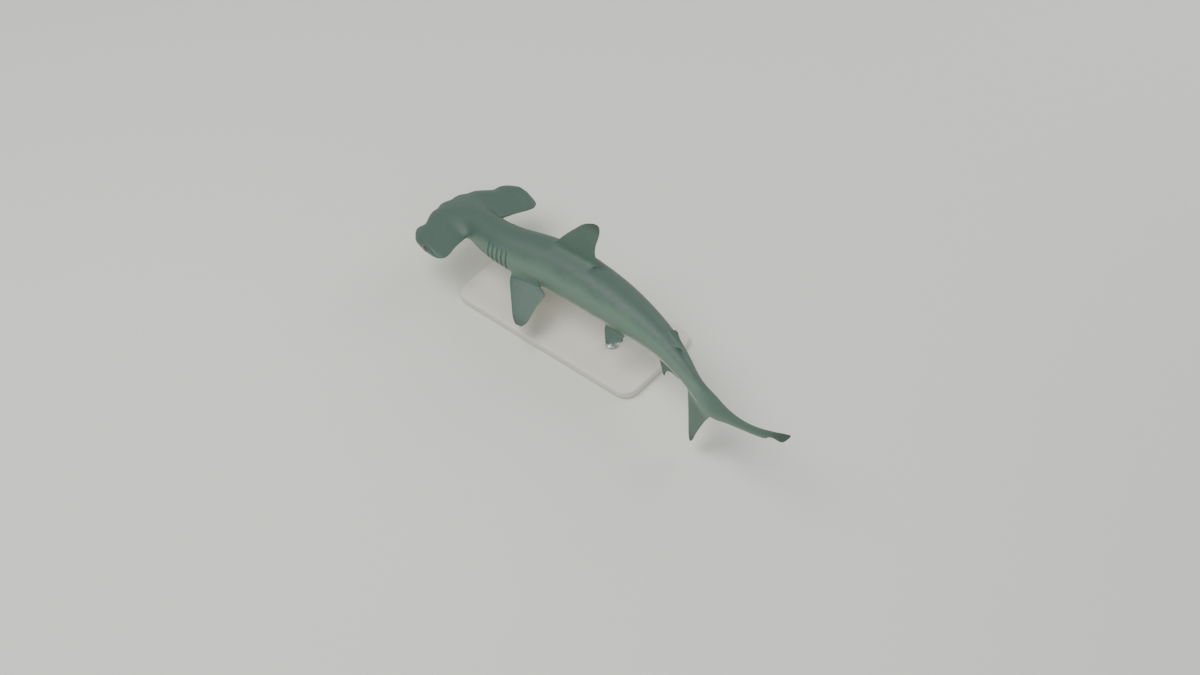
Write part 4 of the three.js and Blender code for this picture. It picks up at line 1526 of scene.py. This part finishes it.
@dataclass
class Stand:
    """The flat base and its two rods."""

    corner: float = 0.026
    corner_faces: int = 10
    edge: float = 0.003
    edge_faces: int = 3
    tolerance: float = 0.0001
    rod_radius: float = 0.005
    rod_sides: int = 40
    # The collar: its radius, its height, the height of its straight side and its chamfer.
    collar: tuple[float, float, float, float] = (0.012, 0.006, 0.0036, 0.003)
    # How far a rod reaches into the base and into the belly.
    foot: float = 0.0002
    sink: float = 0.003
    sharp: float = 35
    base_finish: PlainFinish = PlainFinish("base_paint", srgb(206, 203, 194), 0.5)
    rod_finish: PlainFinish = PlainFinish("rod_steel", srgb(176, 180, 184), 0.3, 1.0)

    def base(self) -> bpy.types.Object:
        """Make the base from a cube with its corners rounded and its edges eased."""
        low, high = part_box("stand_base")
        deselect_all()
        bpy.ops.mesh.primitive_cube_add(size=1)
        base = bpy.context.object
        base.name = "base_board"
        size, middle = np.array(high - low), np.array((high + low) / 2)
        set_coordinates(base, coordinates(base) * size + middle)
        top = float(high.z) - self.tolerance
        bottom = float(low.z) + self.tolerance

        def on_rim(edge: bmesh.types.BMEdge) -> bool:
            """Tell whether an edge runs round the top or the bottom."""
            heights = [corner.co.z for corner in edge.verts]
            return min(heights) > top or max(heights) < bottom

        self.bevel(base, self.corner, self.corner_faces, lambda edge: not on_rim(edge))
        self.bevel(base, self.edge, self.edge_faces, on_rim)
        return base

    @staticmethod
    def bevel(piece: bpy.types.Object, width: float, segments: int, chosen: Callable) -> None:
        """Round some edges of a mesh.

        Args:
            piece: the mesh.
            width: how far the rounding reaches.
            segments: how many faces it is made of.
            chosen: tells whether an edge is rounded.
        """
        select_only(piece)
        bpy.ops.object.mode_set(mode="EDIT")
        choose(edges=True)
        for edge in bmesh.from_edit_mesh(piece.data).edges:
            if chosen(edge):
                edge.select_set(True)
        bpy.ops.mesh.bevel(offset=width, segments=segments, affect="EDGES")
        bpy.ops.object.mode_set(mode="OBJECT")

    def rod(self, word: str) -> bpy.types.Object:
        """Make one rod with the collar at its foot.

        Args:
            word: front or rear.

        Returns:
            The rod, whose top reaches a little into the belly.
        """
        low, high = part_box(f"stand_rod_{word}")
        top = float(high.z) + self.sink
        foot = float(low.z) - self.foot
        wide, tall, straight, chamfer = self.collar
        profile = [(wide, foot), (wide, foot + straight), (wide - chamfer, foot + tall)]
        profile += [(self.rod_radius, foot + tall), (self.rod_radius, top)]
        deselect_all()
        bpy.ops.mesh.primitive_circle_add(vertices=self.rod_sides, radius=1, fill_type="NGON")
        rod = bpy.context.object
        rod.name = f"rod_{word}"
        bpy.ops.object.mode_set(mode="EDIT")
        bm = bmesh.from_edit_mesh(rod.data)
        for n, (radius, z) in enumerate(profile):
            if n:
                bpy.ops.mesh.extrude_region_move()
            for corner in (corner for corner in bm.verts if corner.select):
                out = corner.co.xy.normalized() * radius
                corner.co = (out.x, out.y, z)
        turn_outwards()
        middle = (low + high) / 2
        set_coordinates(rod, coordinates(rod) + [middle.x, middle.y, 0])
        return rod

    def dress(self, piece: bpy.types.Object, finish: PlainFinish, node: str, slot: str) -> None:
        """Give a piece its finish and its place in the row.

        Args:
            piece: the piece.
            finish: what it is made to look like.
            node: the solid that it stands for.
            slot: not used.
        """
        select_only(piece)
        bpy.ops.object.shade_smooth_by_angle(angle=math.radians(self.sharp))
        piece.data.materials.append(finish.material())
        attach(piece, "root")
        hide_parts(node)

    def build(self) -> list[bpy.types.Object]:
        """Make the base and both rods and put them in their places.

        Returns:
            The base, then the front rod and the rear one.
        """
        pieces = [self.base()]
        self.dress(pieces[0], self.base_finish, "stand_base", "stand_base")
        for word in ("front", "rear"):
            pieces.append(self.rod(word))
            self.dress(pieces[-1], self.rod_finish, f"stand_rod_{word}", "stand_rod")
        return pieces


@dataclass
class Studio:
    """A pale floor, soft lights and the camera."""

    target: Place = (0.1309, -0.0859, 0.114)
    azimuth: float = 39.5
    elevation: float = 47.0
    distance: float = 4.886
    lens: float = 85
    # Each lamp: its name, where it stands from the target, its size and its power.
    lamps: tuple[tuple[str, Place, float, float], ...] = (
        ("key", (-0.9, -1.0, 2.6), 1.8, 62),
        ("fill", (2.2, -1.6, 1.6), 2.0, 18),
        ("back", (0.4, 2.4, 1.6), 1.6, 22),
    )
    floor_size: float = 30
    floor_drop: float = 0.0003
    floor: PlainFinish = PlainFinish("floor_paper", srgb(214, 214, 206), 0.9)
    sky: Colour = (0.82, 0.86, 0.86, 1.0)
    sky_strength: float = 0.75

    def aim(self, name: str, data: bpy.types.ID, offset: Place) -> bpy.types.Object:
        """Place a lamp or a camera so that it looks at the target.

        Args:
            name: the object's name.
            data: its lamp or camera data.
            offset: where it stands from the target, in metres.

        Returns:
            The placed object.
        """
        piece = bpy.data.objects.new(name, data)
        bpy.context.collection.objects.link(piece)
        piece.location = Vector(self.target) + Vector(offset)
        piece.rotation_euler = (-Vector(offset)).to_track_quat("-Z", "Y").to_euler()
        return piece

    def lay_floor(self) -> None:
        """Lay the floor a hair below the base, so that the two don't meet in one plane."""
        deselect_all()
        bpy.ops.mesh.primitive_plane_add(size=self.floor_size)
        ground = bpy.context.object
        ground.name = "floor"
        set_coordinates(ground, coordinates(ground) - [0, 0, self.floor_drop])
        ground.data.materials.append(self.floor.material())

    def hang_lamps(self) -> None:
        """Hang the soft square lamps and light the sky."""
        for name, offset, size, power in self.lamps:
            data = bpy.data.lights.new(name, "AREA")
            data.size = size
            data.energy = power
            self.aim(name, data, offset)
        world = bpy.data.worlds.new("sky")
        bpy.context.scene.world = world
        world.use_nodes = True
        background = world.node_tree.nodes["Background"]
        background.inputs["Color"].default_value = self.sky
        background.inputs["Strength"].default_value = self.sky_strength

    def build(self) -> None:
        """Make the floor, the lamps, the sky and the camera."""
        self.lay_floor()
        self.hang_lamps()
        turn, rise = math.radians(self.azimuth), math.radians(self.elevation)
        back = (
            math.sin(turn) * math.cos(rise) * self.distance,
            -math.cos(turn) * math.cos(rise) * self.distance,
            math.sin(rise) * self.distance,
        )
        data = bpy.data.cameras.new("camera")
        data.lens = self.lens
        bpy.context.scene.camera = self.aim("camera", data, back)


def main() -> None:
    """Build the shark, its stand and the studio, and report each piece."""
    for part in (Shark(), Stand()):
        for piece in part.build():
            log.info("%s: %d points", piece.name, len(piece.data.vertices))
    Studio().build()


if __name__ == "__main__":
    main()
